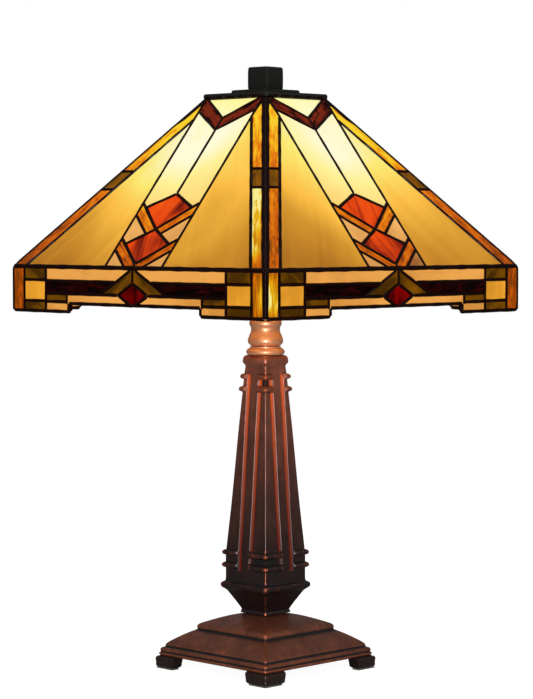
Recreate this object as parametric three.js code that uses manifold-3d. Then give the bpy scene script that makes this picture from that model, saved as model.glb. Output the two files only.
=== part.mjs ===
// Stained glass table lamp: square leaded shade on a tapered cast column with a stepped square base.
// Millimetres, +Z up. The origin is the middle of the footprint, on the surface the lamp stands on.
// The shade's faces and the base's faces are parallel to X and Y.

import * as THREE from 'three';
import { mergeVertices } from 'three/addons/utils/BufferGeometryUtils.js';
import Module from 'manifold-3d';

const wasm = await Module();
wasm.setup();

// ---- driving dimensions ------------------------------------------------------------------------

const GAP = 0.3; // running clearance left between touching pieces
const TINY = 0.02; // edges shorter than this are merged away

// shade
const SHADE_HALF = 177.4; // half the width across the glass at the eave
const SHADE_TOP_HALF = 43; // half the width of the opening under the cap
const EAVE_Z = 403;
const ROOF_TOP_Z = 567.5;
const APRON_HEIGHT = 44.8; // deepest part of the apron, at its corners
const APRON_STEP = 8.2; // how much higher the apron's middle stretch ends
const APRON_STEP_U = 94; // where the lower edge steps, from the middle of a side
const GLASS = 3; // glass thickness
const CAME = 1.2; // how far the leading stands up
const HIP_RADIUS = 3.3;
const EAVE_RADIUS = 2.1;
const EDGE_TRIM = 2.7; // glass is cut short of the eave fold by this much
const HIP_TRIM = 3; // and of the hips, where the panels lean together
const APRON_TRIM = 3.8; // and of the apron's corners

// stand
const FOOT_HALF = 78.9;
const FOOT_LEG = 27; // length of each bracket foot along a side
const PAD = 1.2; // felt thickness
const BASE_TOP_Z = 56;
const COLUMN_TOP_Z = 314.4;
const PIPE_RADIUS = 5;
const BORE_RADIUS = 5.5;
const INLET_Z = 18; // cord inlet, in the middle of the back edge of the base
const INLET_RADIUS = 3.4;

// lighting cluster
const CLUSTER_Z = 366; // underside of the cluster body
const SOCKET_TILT = THREE.MathUtils.degToRad(25);
const SOCKET_OFFSET = 22; // from the lamp's axis to the lower end of a socket cap
const SOCKET_Z = 392;
const BULB_RADIUS = 25;

// top fittings
const CAP_TOP_Z = 573.4;
const PLATE_TOP_Z = 577.4;
const FINIAL_TOP_Z = 600.2;
const FINIAL_HALF = 12.7;
const FINIAL_TURN = THREE.MathUtils.degToRad(5);

const RUN = SHADE_HALF - SHADE_TOP_HALF;
const RISE = ROOF_TOP_Z - EAVE_Z;
const SLOPE_LENGTH = Math.hypot(RUN, RISE);
const SLOPE_COS = RUN / SLOPE_LENGTH;
const SLOPE_SIN = RISE / SLOPE_LENGTH;

// ---- materials ---------------------------------------------------------------------------------

const paint = (color, roughness, metalness, opacity = 1) => new THREE.MeshStandardMaterial({
  color,
  roughness,
  metalness,
  opacity,
  transparent: opacity < 1,
});

const BRONZE = paint(0x4a302a, 0.42, 0.6);
const COPPER = paint(0xcd8c69, 0.28, 0.9);
const BRASS = paint(0xb08d4c, 0.35, 0.9);
const STEEL = paint(0x9a9a98, 0.4, 0.9);
const BLACK = paint(0x151413, 0.55, 0.4);
const LEAD = paint(0x120a08, 0.35, 0.7);
const OPAL = paint(0xf2cf7c, 0.25, 0);
const APRON_GLASS = paint(0xe2a75c, 0.25, 0);
const FELT = paint(0x2b2a28, 0.95, 0);
const PORCELAIN = paint(0xe8e2d6, 0.4, 0);
const BULB_GLASS = paint(0xfff4dc, 0.15, 0, 0.6);
const KNOB = paint(0x1c1a18, 0.4, 0);

// ---- helpers -----------------------------------------------------------------------------------

/** A closed three.js geometry, placed by a matrix, as a solid that can be joined and cut. */
function solid(geometry, matrix = new THREE.Matrix4()) {
  const bare = geometry.clone().applyMatrix4(matrix);
  bare.deleteAttribute('normal');
  bare.deleteAttribute('uv');
  const merged = mergeVertices(bare, 1e-4);
  return new wasm.Manifold(new wasm.Mesh({
    numProp: 3,
    vertProperties: new Float32Array(merged.attributes.position.array),
    triVerts: new Uint32Array(merged.index.array),
  }));
}

/** A solid turned back into a three.js geometry. */
function geometryOf(body) {
  const mesh = body.simplify(TINY).getMesh();
  const geometry = new THREE.BufferGeometry();
  geometry.setAttribute('position', new THREE.BufferAttribute(mesh.vertProperties, mesh.numProp));
  geometry.setIndex(new THREE.BufferAttribute(mesh.triVerts, 1));
  geometry.computeVertexNormals();
  return geometry;
}

const union = (bodies) => bodies.reduce((sum, body) => sum.add(body));

/** Adds a named piece to a group. */
function piece(group, name, shape, material) {
  const geometry = shape.isBufferGeometry ? shape : geometryOf(shape);
  const mesh = new THREE.Mesh(geometry, material);
  mesh.name = name;
  group.add(mesh);
  return mesh;
}

/** Revolves a profile of [radius, height] points about Z. Four segments give a square section. */
function revolve(profile, segments) {
  const points = profile.map(([radius, height]) => new THREE.Vector2(radius, height));
  const turn = segments === 4 ? Math.PI / 4 : 0;
  const geometry = new THREE.LatheGeometry(points, segments, turn);
  return geometry.rotateX(Math.PI / 2);
}

const squareRevolve = (profile) => revolve(profile, 4);

/** A box between two corners. */
function box(low, high) {
  const size = low.map((value, i) => high[i] - value);
  const centre = low.map((value, i) => (high[i] + value) / 2);
  return new THREE.BoxGeometry(...size).translate(...centre);
}

/** A round bar between two points. */
function bar(from, to, radius, segments = 8) {
  const start = new THREE.Vector3(...from);
  const end = new THREE.Vector3(...to);
  const geometry = new THREE.CylinderGeometry(radius, radius, start.distanceTo(end), segments);
  const direction = end.clone().sub(start).normalize();
  const turn = new THREE.Quaternion().setFromUnitVectors(new THREE.Vector3(0, 1, 0), direction);
  const middle = start.add(end).multiplyScalar(0.5);
  return geometry.applyQuaternion(turn).translate(middle.x, middle.y, middle.z);
}

/** A flat outline of [x, y] points, extruded from one height to another. */
function slab(outline, from, to) {
  const shape = new THREE.Shape(outline.map(([x, y]) => new THREE.Vector2(x, y)));
  const geometry = new THREE.ExtrudeGeometry(shape, { depth: to - from, bevelEnabled: false });
  return geometry.translate(0, 0, from);
}

const quarterTurn = (index) => index * Math.PI / 2;

// ---- shade: panels lie in planes with u across, v up the slope, n outward ------------------------

/** Plane of the front roof panel; v runs from the eave to the cap. */
const ROOF_PLANE = new THREE.Matrix4().makeBasis(
  new THREE.Vector3(1, 0, 0),
  new THREE.Vector3(0, SLOPE_COS, SLOPE_SIN),
  new THREE.Vector3(0, -SLOPE_SIN, SLOPE_COS),
).setPosition(0, -SHADE_HALF, EAVE_Z);

/** Plane of the front apron panel; v is height above the eave, so it is negative. */
const APRON_PLANE = new THREE.Matrix4().makeBasis(
  new THREE.Vector3(1, 0, 0),
  new THREE.Vector3(0, 0, 1),
  new THREE.Vector3(0, -1, 0),
).setPosition(0, -SHADE_HALF, EAVE_Z);

/** Half width of the roof panel at a distance v up the slope. */
const roofHalf = (v) => SHADE_HALF - RUN * v / SLOPE_LENGTH;

/** Leading: straight runs as [u1, v1, u2, v2, width], given for u >= 0 and mirrored. */
const HIP_STRIP = 19; // width of the amber strip along each hip, with its leading
const BAND = 40; // half width of the middle band
const stripLine = (v) => roofHalf(v) - HIP_STRIP;
const STRIP_TOP_V = (stripLine(0) - BAND) * SLOPE_LENGTH / RUN;
const SQUARE_LOW = 98;
const SQUARE_HIGH = 121;
const CHEVRON_LOW = 172;
const CHEVRON_HIGH = 187;
const KITE_TOP = 91;
const KITE_MIDDLE = 47.3;
const KITE_BOTTOM = 5;

const ROOF_LEADING = [
  [0, KITE_TOP, 0, CHEVRON_LOW, 2.4],
  [0, CHEVRON_LOW, 0, CHEVRON_HIGH, 2.2],
  [0, CHEVRON_LOW, BAND, 197, 3],
  [0, CHEVRON_HIGH, 37, SLOPE_LENGTH, 2.8],
  [BAND, 0, BAND, SLOPE_LENGTH, 2.4],
  [stripLine(0), 0, BAND, STRIP_TOP_V, 3.4],
  [stripLine(SQUARE_LOW), SQUARE_LOW, roofHalf(SQUARE_LOW), SQUARE_LOW, 3],
  [stripLine(SQUARE_HIGH), SQUARE_HIGH, roofHalf(SQUARE_HIGH), SQUARE_HIGH, 3],
  [0, KITE_TOP, 32.5, 74, 3.4],
  [0, KITE_MIDDLE, BAND, 80, 3.4],
  [10.5, 41.8, BAND, 65, 3],
  [0, KITE_MIDDLE, 31, 29, 3.4],
  [0, KITE_BOTTOM, BAND, 36, 3.4],
  [0, 0, 0, KITE_BOTTOM, 3],
  [11.5, 0, BAND, 22, 3],
];

const APRON_LOW = -APRON_HEIGHT;
const APRON_MID = APRON_LOW + APRON_STEP;
const APRON_LEADING = [
  [160, 0, 160, APRON_LOW, 3],
  [127, 0, 127, APRON_LOW, 3],
  [160, -13, 127, -13, 3],
  [160, -33.5, 127, -33.5, 3],
  [127, -13.5, 25, -13.5, 2.6],
  [127, -26, 21, -26, 2.8],
  [127, -34, 95.5, -34, 2.8],
  [95.5, -26, 95.5, APRON_MID, 2.8],
  [0, -1, 0, -14.5, 2.6],
  [3, -2, 47, -26, 2.6],
  [0, -14.5, 21, -26, 3.2],
  [21, -26, 2, -36, 3.2],
  [0, APRON_MID + 1.5, APRON_STEP_U, APRON_MID + 1.5, 3],
  [APRON_STEP_U - 1.5, APRON_MID + 3, APRON_STEP_U - 1.5, APRON_LOW, 3],
  [APRON_STEP_U - 3, APRON_LOW + 1.5, SHADE_HALF, APRON_LOW + 1.5, 3],
];

/** One run of leading, standing on the glass in its panel's plane. */
function run(u1, v1, u2, v2, width) {
  const length = Math.hypot(u2 - u1, v2 - v1);
  const angle = Math.atan2(v2 - v1, u2 - u1);
  const geometry = new THREE.BoxGeometry(length + width * 0.6, width, CAME);
  geometry.rotateZ(angle);
  return geometry.translate((u1 + u2) / 2, (v1 + v2) / 2, GAP + CAME / 2);
}

/** Every run of a panel and its mirror image, joined, trimmed to the panel and set in its plane. */
function leading(runs, outline, plane) {
  const bodies = [];
  for (const [u1, v1, u2, v2, width] of runs) {
    bodies.push(solid(run(u1, v1, u2, v2, width)));
    if (u1 !== 0 || u2 !== 0) bodies.push(solid(run(-u1, v1, -u2, v2, width)));
  }
  const field = solid(slab(outline, -CAME, CAME * 4));
  return union(bodies).intersect(field).simplify(0.12).transform(plane.elements);
}

const CORNER = SHADE_HALF - 0.8; // centre line of the cames along the folds
const TOP_CORNER = SHADE_TOP_HALF - 0.8;

/** A hip's came, bent at the eave and running down the apron's corner. */
function hipCame(radius) {
  const top = [TOP_CORNER, -TOP_CORNER, ROOF_TOP_Z];
  const eave = [CORNER, -CORNER, EAVE_Z];
  const foot = [CORNER, -CORNER, EAVE_Z - APRON_HEIGHT];
  const bend = new THREE.SphereGeometry(radius, 8, 6).translate(...eave);
  return union([solid(bar(top, eave, radius)), solid(bar(eave, foot, radius)), solid(bend)]);
}

/** An eave's came along the fold between the roof and the apron. */
function eaveCame(radius) {
  const from = [-SHADE_HALF, -SHADE_HALF + 0.7, EAVE_Z];
  const to = [SHADE_HALF, -SHADE_HALF + 0.7, EAVE_Z];
  return solid(bar(from, to, radius));
}

function buildShade(group) {
  const far = SHADE_HALF * 2;
  const aboveCap = solid(box([-far, -far, ROOF_TOP_Z + 0.2], [far, far, ROOF_TOP_Z + 40]));
  const hip = hipCame(HIP_RADIUS).subtract(aboveCap);
  const hipRoom = hipCame(HIP_RADIUS + GAP);
  const room = union([
    hipRoom,
    hipRoom.rotate([0, 0, -90]),
    eaveCame(EAVE_RADIUS + GAP),
    aboveCap,
  ]);
  const eave = eaveCame(EAVE_RADIUS).subtract(hipRoom).subtract(hipRoom.rotate([0, 0, -90]));

  const roofOutline = [
    [-roofHalf(0) + HIP_TRIM, EDGE_TRIM],
    [roofHalf(0) - HIP_TRIM, EDGE_TRIM],
    [roofHalf(SLOPE_LENGTH) - HIP_TRIM, SLOPE_LENGTH],
    [-roofHalf(SLOPE_LENGTH) + HIP_TRIM, SLOPE_LENGTH],
  ];
  const edge = SHADE_HALF - APRON_TRIM;
  const apronOutline = [
    [-edge, APRON_LOW],
    [-APRON_STEP_U, APRON_LOW],
    [-APRON_STEP_U, APRON_MID],
    [APRON_STEP_U, APRON_MID],
    [APRON_STEP_U, APRON_LOW],
    [edge, APRON_LOW],
    [edge, -EDGE_TRIM],
    [-edge, -EDGE_TRIM],
  ];
  const roofGlass = solid(slab(roofOutline, -GLASS, 0), ROOF_PLANE).subtract(room);
  const apronGlass = solid(slab(apronOutline, -GLASS, 0), APRON_PLANE).subtract(room);
  const roofLeading = leading(ROOF_LEADING, roofOutline, ROOF_PLANE).subtract(room);
  const apronLeading = leading(APRON_LEADING, apronOutline, APRON_PLANE).subtract(room);

  const sides = ['front', 'right', 'back', 'left'];
  const corners = ['front_right', 'back_right', 'back_left', 'front_left'];
  sides.forEach((side, index) => {
    const turned = new THREE.Group();
    turned.rotation.z = quarterTurn(index);
    piece(turned, `roof_glass_${side}`, roofGlass, OPAL);
    piece(turned, `roof_leading_${side}`, roofLeading, LEAD);
    piece(turned, `apron_glass_${side}`, apronGlass, APRON_GLASS);
    piece(turned, `apron_leading_${side}`, apronLeading, LEAD);
    piece(turned, `eave_came_${side}`, eave, LEAD);
    piece(turned, `hip_came_${corners[index]}`, hip, LEAD);
    group.add(turned);
  });
}

// ---- shade fittings ----------------------------------------------------------------------------

const CAP_OUTER = 63; // half the diagonal of the square cap
const CAP_SHEET = 1.8;

function buildTop(group) {
  const capLow = ROOF_TOP_Z + 0.5;
  const sheetLow = CAP_TOP_Z - CAP_SHEET;
  const cap = solid(squareRevolve([
    [8, sheetLow],
    [CAP_OUTER - 6, sheetLow],
    [CAP_OUTER - 6, capLow],
    [CAP_OUTER - 0.6, capLow],
    [CAP_OUTER + 0.4, CAP_TOP_Z - 2.4],
    [CAP_OUTER - 0.6, CAP_TOP_Z],
    [8, CAP_TOP_Z],
    [8, sheetLow],
  ]));
  const ventReach = 34;
  const vents = [];
  for (let index = 0; index < 4; index += 1) {
    const angle = quarterTurn(index);
    const x = ventReach * Math.cos(angle);
    const y = ventReach * Math.sin(angle);
    vents.push(solid(bar([x, y, sheetLow - 5], [x, y, CAP_TOP_Z + 5], 3.5, 12)));
  }
  piece(group, 'top_cap', cap.subtract(union(vents)), BLACK);

  const plateLow = CAP_TOP_Z + GAP;
  piece(group, 'cap_plate', squareRevolve([
    [8, plateLow],
    [34, plateLow],
    [34.7, plateLow + 1.6],
    [33.5, PLATE_TOP_Z],
    [8, PLATE_TOP_Z],
    [8, plateLow],
  ]), BLACK);

  const halfDiagonal = FINIAL_HALF * Math.SQRT2;
  const finialLow = PLATE_TOP_Z + GAP;
  const block = solid(squareRevolve([
    [0, finialLow],
    [halfDiagonal - 0.7, finialLow],
    [halfDiagonal, finialLow + 0.7],
    [halfDiagonal, FINIAL_TOP_Z - 0.9],
    [halfDiagonal - 0.9, FINIAL_TOP_Z],
    [0, FINIAL_TOP_Z],
  ]));
  const bore = solid(bar([0, 0, finialLow - 5], [0, 0, FINIAL_TOP_Z - 9], BORE_RADIUS, 24));
  piece(group, 'finial', block.subtract(bore), BLACK).rotation.z = FINIAL_TURN;
}

// ---- base and column ---------------------------------------------------------------------------

/** Profiles of the castings as [half diagonal, height]. */
const PLINTH_PROFILE = [
  [0, 13],
  [106.4, 13],
  [107.8, 14.6],
  [106.2, 16.8],
  [106.4, 18.8],
  [105.2, 20.4],
  [101.4, 21.4],
  [100.4, 23.6],
  [97.6, 26.3],
  [85.4, 33.2],
  [69.4, 39.4],
  [68.8, 42.4],
  [66.2, 44.8],
  [48, 51.4],
  [25, BASE_TOP_Z],
  [0, BASE_TOP_Z],
];
const FOOT_PROFILE = [
  [94, PAD + GAP],
  [111.2, PAD + GAP],
  [110.2, 5.6],
  [111.4, 9],
  [111, 11.4],
  [107.4, 12.6],
  [105, 13.6],
  [94, 13.6],
  [94, PAD + GAP],
];
const BASE_HOLLOW = [
  [0, -5],
  [93, -5],
  [93, 15],
  [88, 20.5],
  [62, 34.5],
  [58, 40],
  [0, 40],
];

const SHAFT_LOW_Z = 123;
const SHAFT_HIGH_Z = 274;
const COLUMN_PROFILE = [
  [0, BASE_TOP_Z + GAP],
  [24.8, BASE_TOP_Z + GAP],
  [24.3, 58.8],
  [25.4, 60.8],
  [34.8, 73.4],
  [39.6, 79.4],
  [43.4, 81.8],
  [44.6, 84],
  [43.2, 86.6],
  [40.1, 88.2],
  [40.3, 100],
  [40.4, 114],
  [39.4, SHAFT_LOW_Z],
  [34.1, 169],
  [27.8, 237],
  [23.7, SHAFT_HIGH_Z],
  [22.4, 288],
  [21.4, 298],
  [20.6, 303.4],
  [22.4, 305.8],
  [23, 309.5],
  [22.3, 312.6],
  [20.4, COLUMN_TOP_Z],
  [0, COLUMN_TOP_Z],
];
const COLUMN_HOLLOW = [
  [0, 66],
  [13, 66],
  [27, 84],
  [29, 100],
  [29, 122],
  [14, 262],
  [12, 300],
  [0, 300],
];
/** Beads across the corner piers: [height, half diagonal of the pier there]. */
const PIER_BEADS = [[104.3, 40.9], [117, 40.4], [280.6, 23.5], [293.2, 22.3]];
const BEAD_OUT = 4.1; // how far a bead's edge stands out, on the diagonal
const BEAD_HALF_HEIGHT = 2.8;
const GROOVE_U = 7.8; // from the middle of a face to a groove's centre line
const GROOVE_WIDTH = 4.4;
const GROOVE_DEPTH = 2;
const GROOVE_LOW_Z = 100;
const GROOVE_HIGH_Z = 295;

/** Half width of a column face at a height, from the casting's profile. */
function columnHalf(z) {
  const index = COLUMN_PROFILE.findIndex(([, height]) => height > z);
  const [lowRadius, low] = COLUMN_PROFILE[index - 1];
  const [highRadius, high] = COLUMN_PROFILE[index];
  return THREE.MathUtils.mapLinear(z, low, high, lowRadius, highRadius) / Math.SQRT2;
}

/** A cutter for one groove of the front face, following the face's taper. */
function grooveCutter(u) {
  const heights = [GROOVE_LOW_Z, 114, SHAFT_LOW_Z, 169, 237, SHAFT_HIGH_Z, 288, GROOVE_HIGH_Z];
  const outside = -60;
  const floor = heights.map((z) => [-columnHalf(z) + GROOVE_DEPTH, z]);
  const outline = [[outside, GROOVE_LOW_Z], ...floor, [outside, GROOVE_HIGH_Z]];
  const geometry = slab(outline, u - GROOVE_WIDTH / 2, u + GROOVE_WIDTH / 2);
  const side = new THREE.Matrix4().makeBasis(
    new THREE.Vector3(0, 1, 0),
    new THREE.Vector3(0, 0, 1),
    new THREE.Vector3(1, 0, 0),
  );
  return solid(geometry, side);
}

function buildBase(group) {
  const plinth = solid(squareRevolve(PLINTH_PROFILE));
  const feet = solid(squareRevolve(FOOT_PROFILE));
  const half = FOOT_HALF - FOOT_LEG;
  const curve = 6; // the bracket's inner profile curves up into the plinth
  const arch = [
    [-half, -5],
    [half, -5],
    [half, 3],
    [half + 2, 6],
    [half - curve + 4, 10],
    [half - curve, 13],
    [half - curve, 13.7],
    [-half + curve, 13.7],
    [-half + curve, 13],
    [-half + curve - 4, 10],
    [-half - 2, 6],
    [-half, 3],
  ];
  const through = slab(arch, -100, 100).rotateX(Math.PI / 2);
  const across = through.clone().rotateZ(Math.PI / 2);
  const brackets = feet.subtract(solid(through)).subtract(solid(across));
  const hollow = solid(squareRevolve(BASE_HOLLOW));
  const pipeHole = solid(bar([0, 0, 30], [0, 0, 70], BORE_RADIUS, 16));
  const inlet = solid(bar([0, 50, INLET_Z], [0, 90, INLET_Z], INLET_RADIUS, 12));
  const casting = plinth.subtract(hollow).add(brackets).subtract(pipeHole).subtract(inlet);
  piece(group, 'base_casting', casting, BRONZE);
}

function buildInlet(group) {
  const radius = INLET_RADIUS - GAP;
  piece(group, 'cord_bushing', revolve([
    [1.9, -12],
    [radius, -12],
    [radius, 0],
    [4.6, 0],
    [4.6, 1.4],
    [3.6, 2],
    [1.9, 2],
    [1.9, -12],
  ], 12).rotateX(-Math.PI / 2).translate(0, 76.7, INLET_Z), KNOB);
}

function buildColumn(group) {
  const outer = solid(squareRevolve(COLUMN_PROFILE));
  const band = GROOVE_U + GROOVE_WIDTH / 2 + 0.2;
  const keepOut = union([
    solid(box([-band, -80, 60], [band, 80, 320])),
    solid(box([-80, -band, 60], [80, band, 320])),
  ]);
  const beads = PIER_BEADS.map(([z, radius]) => solid(squareRevolve([
    [radius - 4, z - BEAD_HALF_HEIGHT],
    [radius, z - BEAD_HALF_HEIGHT],
    [radius + BEAD_OUT, z],
    [radius + BEAD_OUT * 0.7, z + BEAD_HALF_HEIGHT * 0.6],
    [radius, z + BEAD_HALF_HEIGHT],
    [radius - 4, z + BEAD_HALF_HEIGHT],
    [radius - 4, z - BEAD_HALF_HEIGHT],
  ])).subtract(keepOut));
  const cutters = [];
  for (let index = 0; index < 4; index += 1) {
    for (const side of [-1, 1]) {
      cutters.push(grooveCutter(side * GROOVE_U).rotate([0, 0, index * 90]));
    }
  }
  const hollow = solid(squareRevolve(COLUMN_HOLLOW));
  const pipeHole = solid(bar([0, 0, 50], [0, 0, 320], BORE_RADIUS, 16));
  const casting = union([outer, ...beads])
    .subtract(union(cutters))
    .subtract(hollow)
    .subtract(pipeHole);
  piece(group, 'column_casting', casting, BRONZE);
}

function buildPads(group) {
  const outer = FOOT_HALF - 1.6;
  const inner = FOOT_HALF - 10.4;
  const end = FOOT_HALF - FOOT_LEG + 2.5;
  const outline = [
    [outer, -outer],
    [outer, -end],
    [inner, -end],
    [inner, -inner],
    [end, -inner],
    [end, -outer],
  ];
  ['front_right', 'back_right', 'back_left', 'front_left'].forEach((corner, index) => {
    const pad = piece(group, `foot_pad_${corner}`, slab(outline, 0, PAD), FELT);
    pad.rotation.z = quarterTurn(index);
  });
}

// ---- neck, pipe and fasteners --------------------------------------------------------------------

function tube(inner, outer, low, high, segments = 16) {
  return revolve([
    [inner, low],
    [outer, low],
    [outer, high],
    [inner, high],
    [inner, low],
  ], segments);
}

/** A hexagonal nut with a round bore. */
function nut(radius, low, high) {
  const bore = solid(bar([0, 0, low - 1], [0, 0, high + 1], BORE_RADIUS, 16));
  return solid(bar([0, 0, low], [0, 0, high], radius, 6)).subtract(bore);
}

function buildSpine(group) {
  piece(group, 'threaded_pipe', tube(3.6, PIPE_RADIUS, 27, CLUSTER_Z - GAP), STEEL);
  piece(group, 'base_washer', tube(BORE_RADIUS, 15, 38.1, 39.7), STEEL);
  piece(group, 'base_nut', nut(9, 30, 37.8), STEEL);
  piece(group, 'neck_collar', revolve([
    [BORE_RADIUS, COLUMN_TOP_Z + GAP],
    [16.6, COLUMN_TOP_Z + GAP],
    [18.2, 316.2],
    [18.9, 318.6],
    [17.6, 321],
    [15.4, 321.9],
    [15.4, 323.6],
    [BORE_RADIUS, 323.6],
    [BORE_RADIUS, COLUMN_TOP_Z + GAP],
  ], 20), COPPER);
  piece(group, 'neck_cup', revolve([
    [BORE_RADIUS, 323.9],
    [14.8, 323.9],
    [15.8, 325],
    [17.5, 328.4],
    [16.5, 332.4],
    [14.5, 339.2],
    [14.9, 342.2],
    [16.1, 345.4],
    [15.9, 348.6],
    [14.7, 351.4],
    [14.2, 357],
    [9, 362.4],
    [BORE_RADIUS, 362.4],
    [BORE_RADIUS, 361],
    [8.4, 361],
    [12.8, 356.4],
    [13, 341],
    [15.4, 329.6],
    [13.6, 325.5],
    [BORE_RADIUS, 325.5],
    [BORE_RADIUS, 323.9],
  ], 20), COPPER);
  piece(group, 'riser_rod', bar([0, 0, 391.3], [0, 0, FINIAL_TOP_Z - 11], PIPE_RADIUS, 16), STEEL);
  const seat = CAP_TOP_Z - CAP_SHEET - GAP;
  piece(group, 'seat_washer', tube(BORE_RADIUS, 20, seat - 1.6, seat), STEEL);
  piece(group, 'seat_nut', nut(9, seat - 7.9, seat - 1.9), STEEL);
}

// ---- lighting cluster ----------------------------------------------------------------------------

/** The axis of one socket as a matrix: local Z runs up the socket, from the cap's lower end. */
function socketFrame(sign) {
  const across = new THREE.Vector3(sign, sign, 0).normalize();
  const up = across.clone().multiplyScalar(Math.sin(SOCKET_TILT));
  up.z = Math.cos(SOCKET_TILT);
  const side = new THREE.Vector3(0, 0, 1).cross(across).normalize();
  const third = side.clone().cross(up);
  const origin = across.multiplyScalar(SOCKET_OFFSET);
  return new THREE.Matrix4().makeBasis(third.negate(), side.negate(), up)
    .setPosition(origin.x, origin.y, SOCKET_Z);
}

function buildCluster(group) {
  const frames = [socketFrame(1), socketFrame(-1)];
  const shell = solid(revolve([
    [0, CLUSTER_Z],
    [12, CLUSTER_Z],
    [15, CLUSTER_Z + 3],
    [15, CLUSTER_Z + 19],
    [10, CLUSTER_Z + 25],
    [0, CLUSTER_Z + 25],
  ], 20));
  const cavity = solid(revolve([
    [0, CLUSTER_Z + 4],
    [12, CLUSTER_Z + 5],
    [12, CLUSTER_Z + 17],
    [7, CLUSTER_Z + 21],
    [0, CLUSTER_Z + 21],
  ], 12));
  const wireway = solid(bar([0, 0, CLUSTER_Z - 5], [0, 0, CLUSTER_Z + 10], 3.6, 12));
  const bosses = frames.map((frame) => solid(bar([0, 0, -19], [0, 0, -5], 7.5, 12), frame));
  const bores = frames.map((frame) => solid(bar([0, 0, -21], [0, 0, 0], 3.4, 8), frame));
  const body = union([shell, ...bosses]).subtract(union([cavity, wireway, ...bores]));
  piece(group, 'cluster_body', body, BRASS);
}

const SHELL_RADIUS = 16.5;
const CORE_RADIUS = 15;
const SCREW_RADIUS = 13;
const SCREW_LOW = 30.5; // along the socket's axis
const SCREW_HIGH = 55;
const BULB_CENTRE = 97;

/** Profile of the bulb's envelope: a neck, a shoulder and a round end; the wall is one millimetre. */
function bulbProfile() {
  const neck = 12.4;
  const low = SCREW_HIGH + GAP;
  const steps = 7;
  const arc = (radius, from, to) => Array.from({ length: steps }, (unused, index) => {
    const angle = THREE.MathUtils.lerp(from, to, index / (steps - 1));
    return [radius * Math.cos(angle), BULB_CENTRE + radius * Math.sin(angle)];
  });
  const start = -0.7;
  const end = Math.PI / 2;
  const outer = [[neck, low], [neck + 0.6, low + 8], [16, 70], ...arc(BULB_RADIUS, start, end)];
  const inner = [...arc(BULB_RADIUS - 1, end, start), [15, 70.5], [neck - 0.4, low + 8], [neck - 1, low]];
  outer[outer.length - 1][0] = 0;
  inner[0][0] = 0;
  return { outer, inner };
}

function buildSocket(group, name, sign) {
  const frame = socketFrame(sign);
  const place = (geometry) => geometry.clone().applyMatrix4(frame);

  const nipple = place(tube(3.3, PIPE_RADIUS, -4.7, 5, 12));
  piece(group, `socket_nipple_${name}`, nipple, BRASS);
  piece(group, `socket_cap_${name}`, place(revolve([
    [PIPE_RADIUS + GAP, 0],
    [9, 0],
    [15.6, 6],
    [SHELL_RADIUS, 12],
    [SHELL_RADIUS, 13.2],
    [CORE_RADIUS + GAP, 13.2],
    [CORE_RADIUS + GAP, 12],
    [14, 7],
    [8.4, 1.4],
    [PIPE_RADIUS + GAP, 1.4],
    [PIPE_RADIUS + GAP, 0],
  ], 16)), BRASS);

  const knobHeight = 20;
  const knobHole = solid(bar([0, 0, knobHeight], [0, 40, knobHeight], 2.6, 12));
  const shell = solid(tube(CORE_RADIUS + GAP, SHELL_RADIUS, 13.5, 54, 16)).subtract(knobHole);
  piece(group, `socket_shell_${name}`, place(geometryOf(shell)), BRASS);

  const screwRoom = solid(bar([0, 0, 30], [0, 0, 60], SCREW_RADIUS + 0.4, 16));
  const core = solid(revolve([
    [0, 8.6],
    [12.8, 8.6],
    [CORE_RADIUS, 13],
    [CORE_RADIUS, 53],
    [0, 53],
  ], 16));
  const seatRoom = solid(bar([0, 0, 28.4], [0, 0, 31], 6, 12));
  const body = core.subtract(screwRoom).subtract(seatRoom).subtract(knobHole);
  piece(group, `socket_core_${name}`, place(geometryOf(body)), PORCELAIN);

  const knob = revolve([
    [0, 15.4],
    [2.2, 15.4],
    [2.2, 20],
    [5, 20.4],
    [5.6, 22],
    [5.2, 31],
    [4.2, 32],
    [0, 32],
  ], 12).rotateX(-Math.PI / 2).translate(0, 0, knobHeight);
  piece(group, `switch_knob_${name}`, place(knob), KNOB);
}

function buildBulb(group, name, sign) {
  const frame = socketFrame(sign);
  const screw = revolve([
    [0, SCREW_LOW - 1.6],
    [4.5, SCREW_LOW - 1.6],
    [5, SCREW_LOW],
    [10, SCREW_LOW + 2],
    [SCREW_RADIUS, SCREW_LOW + 5],
    [SCREW_RADIUS, SCREW_HIGH],
    [0, SCREW_HIGH],
  ], 16);
  piece(group, `bulb_screw_${name}`, screw.applyMatrix4(frame), BRASS);
  const { outer, inner } = bulbProfile();
  const floor = inner.at(-1)[1] - 3;
  const whole = solid(revolve([[0, outer[0][1]], ...outer], 16));
  const hollow = solid(revolve([[0, floor], [inner.at(-1)[0], floor], ...inner.toReversed()], 16));
  const glass = geometryOf(whole.subtract(hollow)).applyMatrix4(frame);
  piece(group, `bulb_glass_${name}`, glass, BULB_GLASS);
}

// ---- assembly ------------------------------------------------------------------------------------

const lamp = new THREE.Group();
buildPads(lamp);
buildBase(lamp);
buildInlet(lamp);
buildColumn(lamp);
buildSpine(lamp);
buildCluster(lamp);
[['right', 1], ['left', -1]].forEach(([name, sign]) => {
  buildSocket(lamp, name, sign);
  buildBulb(lamp, name, sign);
});
buildShade(lamp);
buildTop(lamp);

export default lamp;
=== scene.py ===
"""Stained glass table lamp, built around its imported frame.

A square leaded shade of cut glass hangs from a riser over two tilted sockets, on a tapered cast column
with a stepped square base. Sizes in the classes are millimetres, and meshes are written in metres.
The faces of the shade and of the base are parallel to X and Y, and +Z is up.
"""

import sys

import logging
import math
from dataclasses import dataclass, field, replace
from enum import Enum
from typing import Callable, Iterable, Sequence

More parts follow.
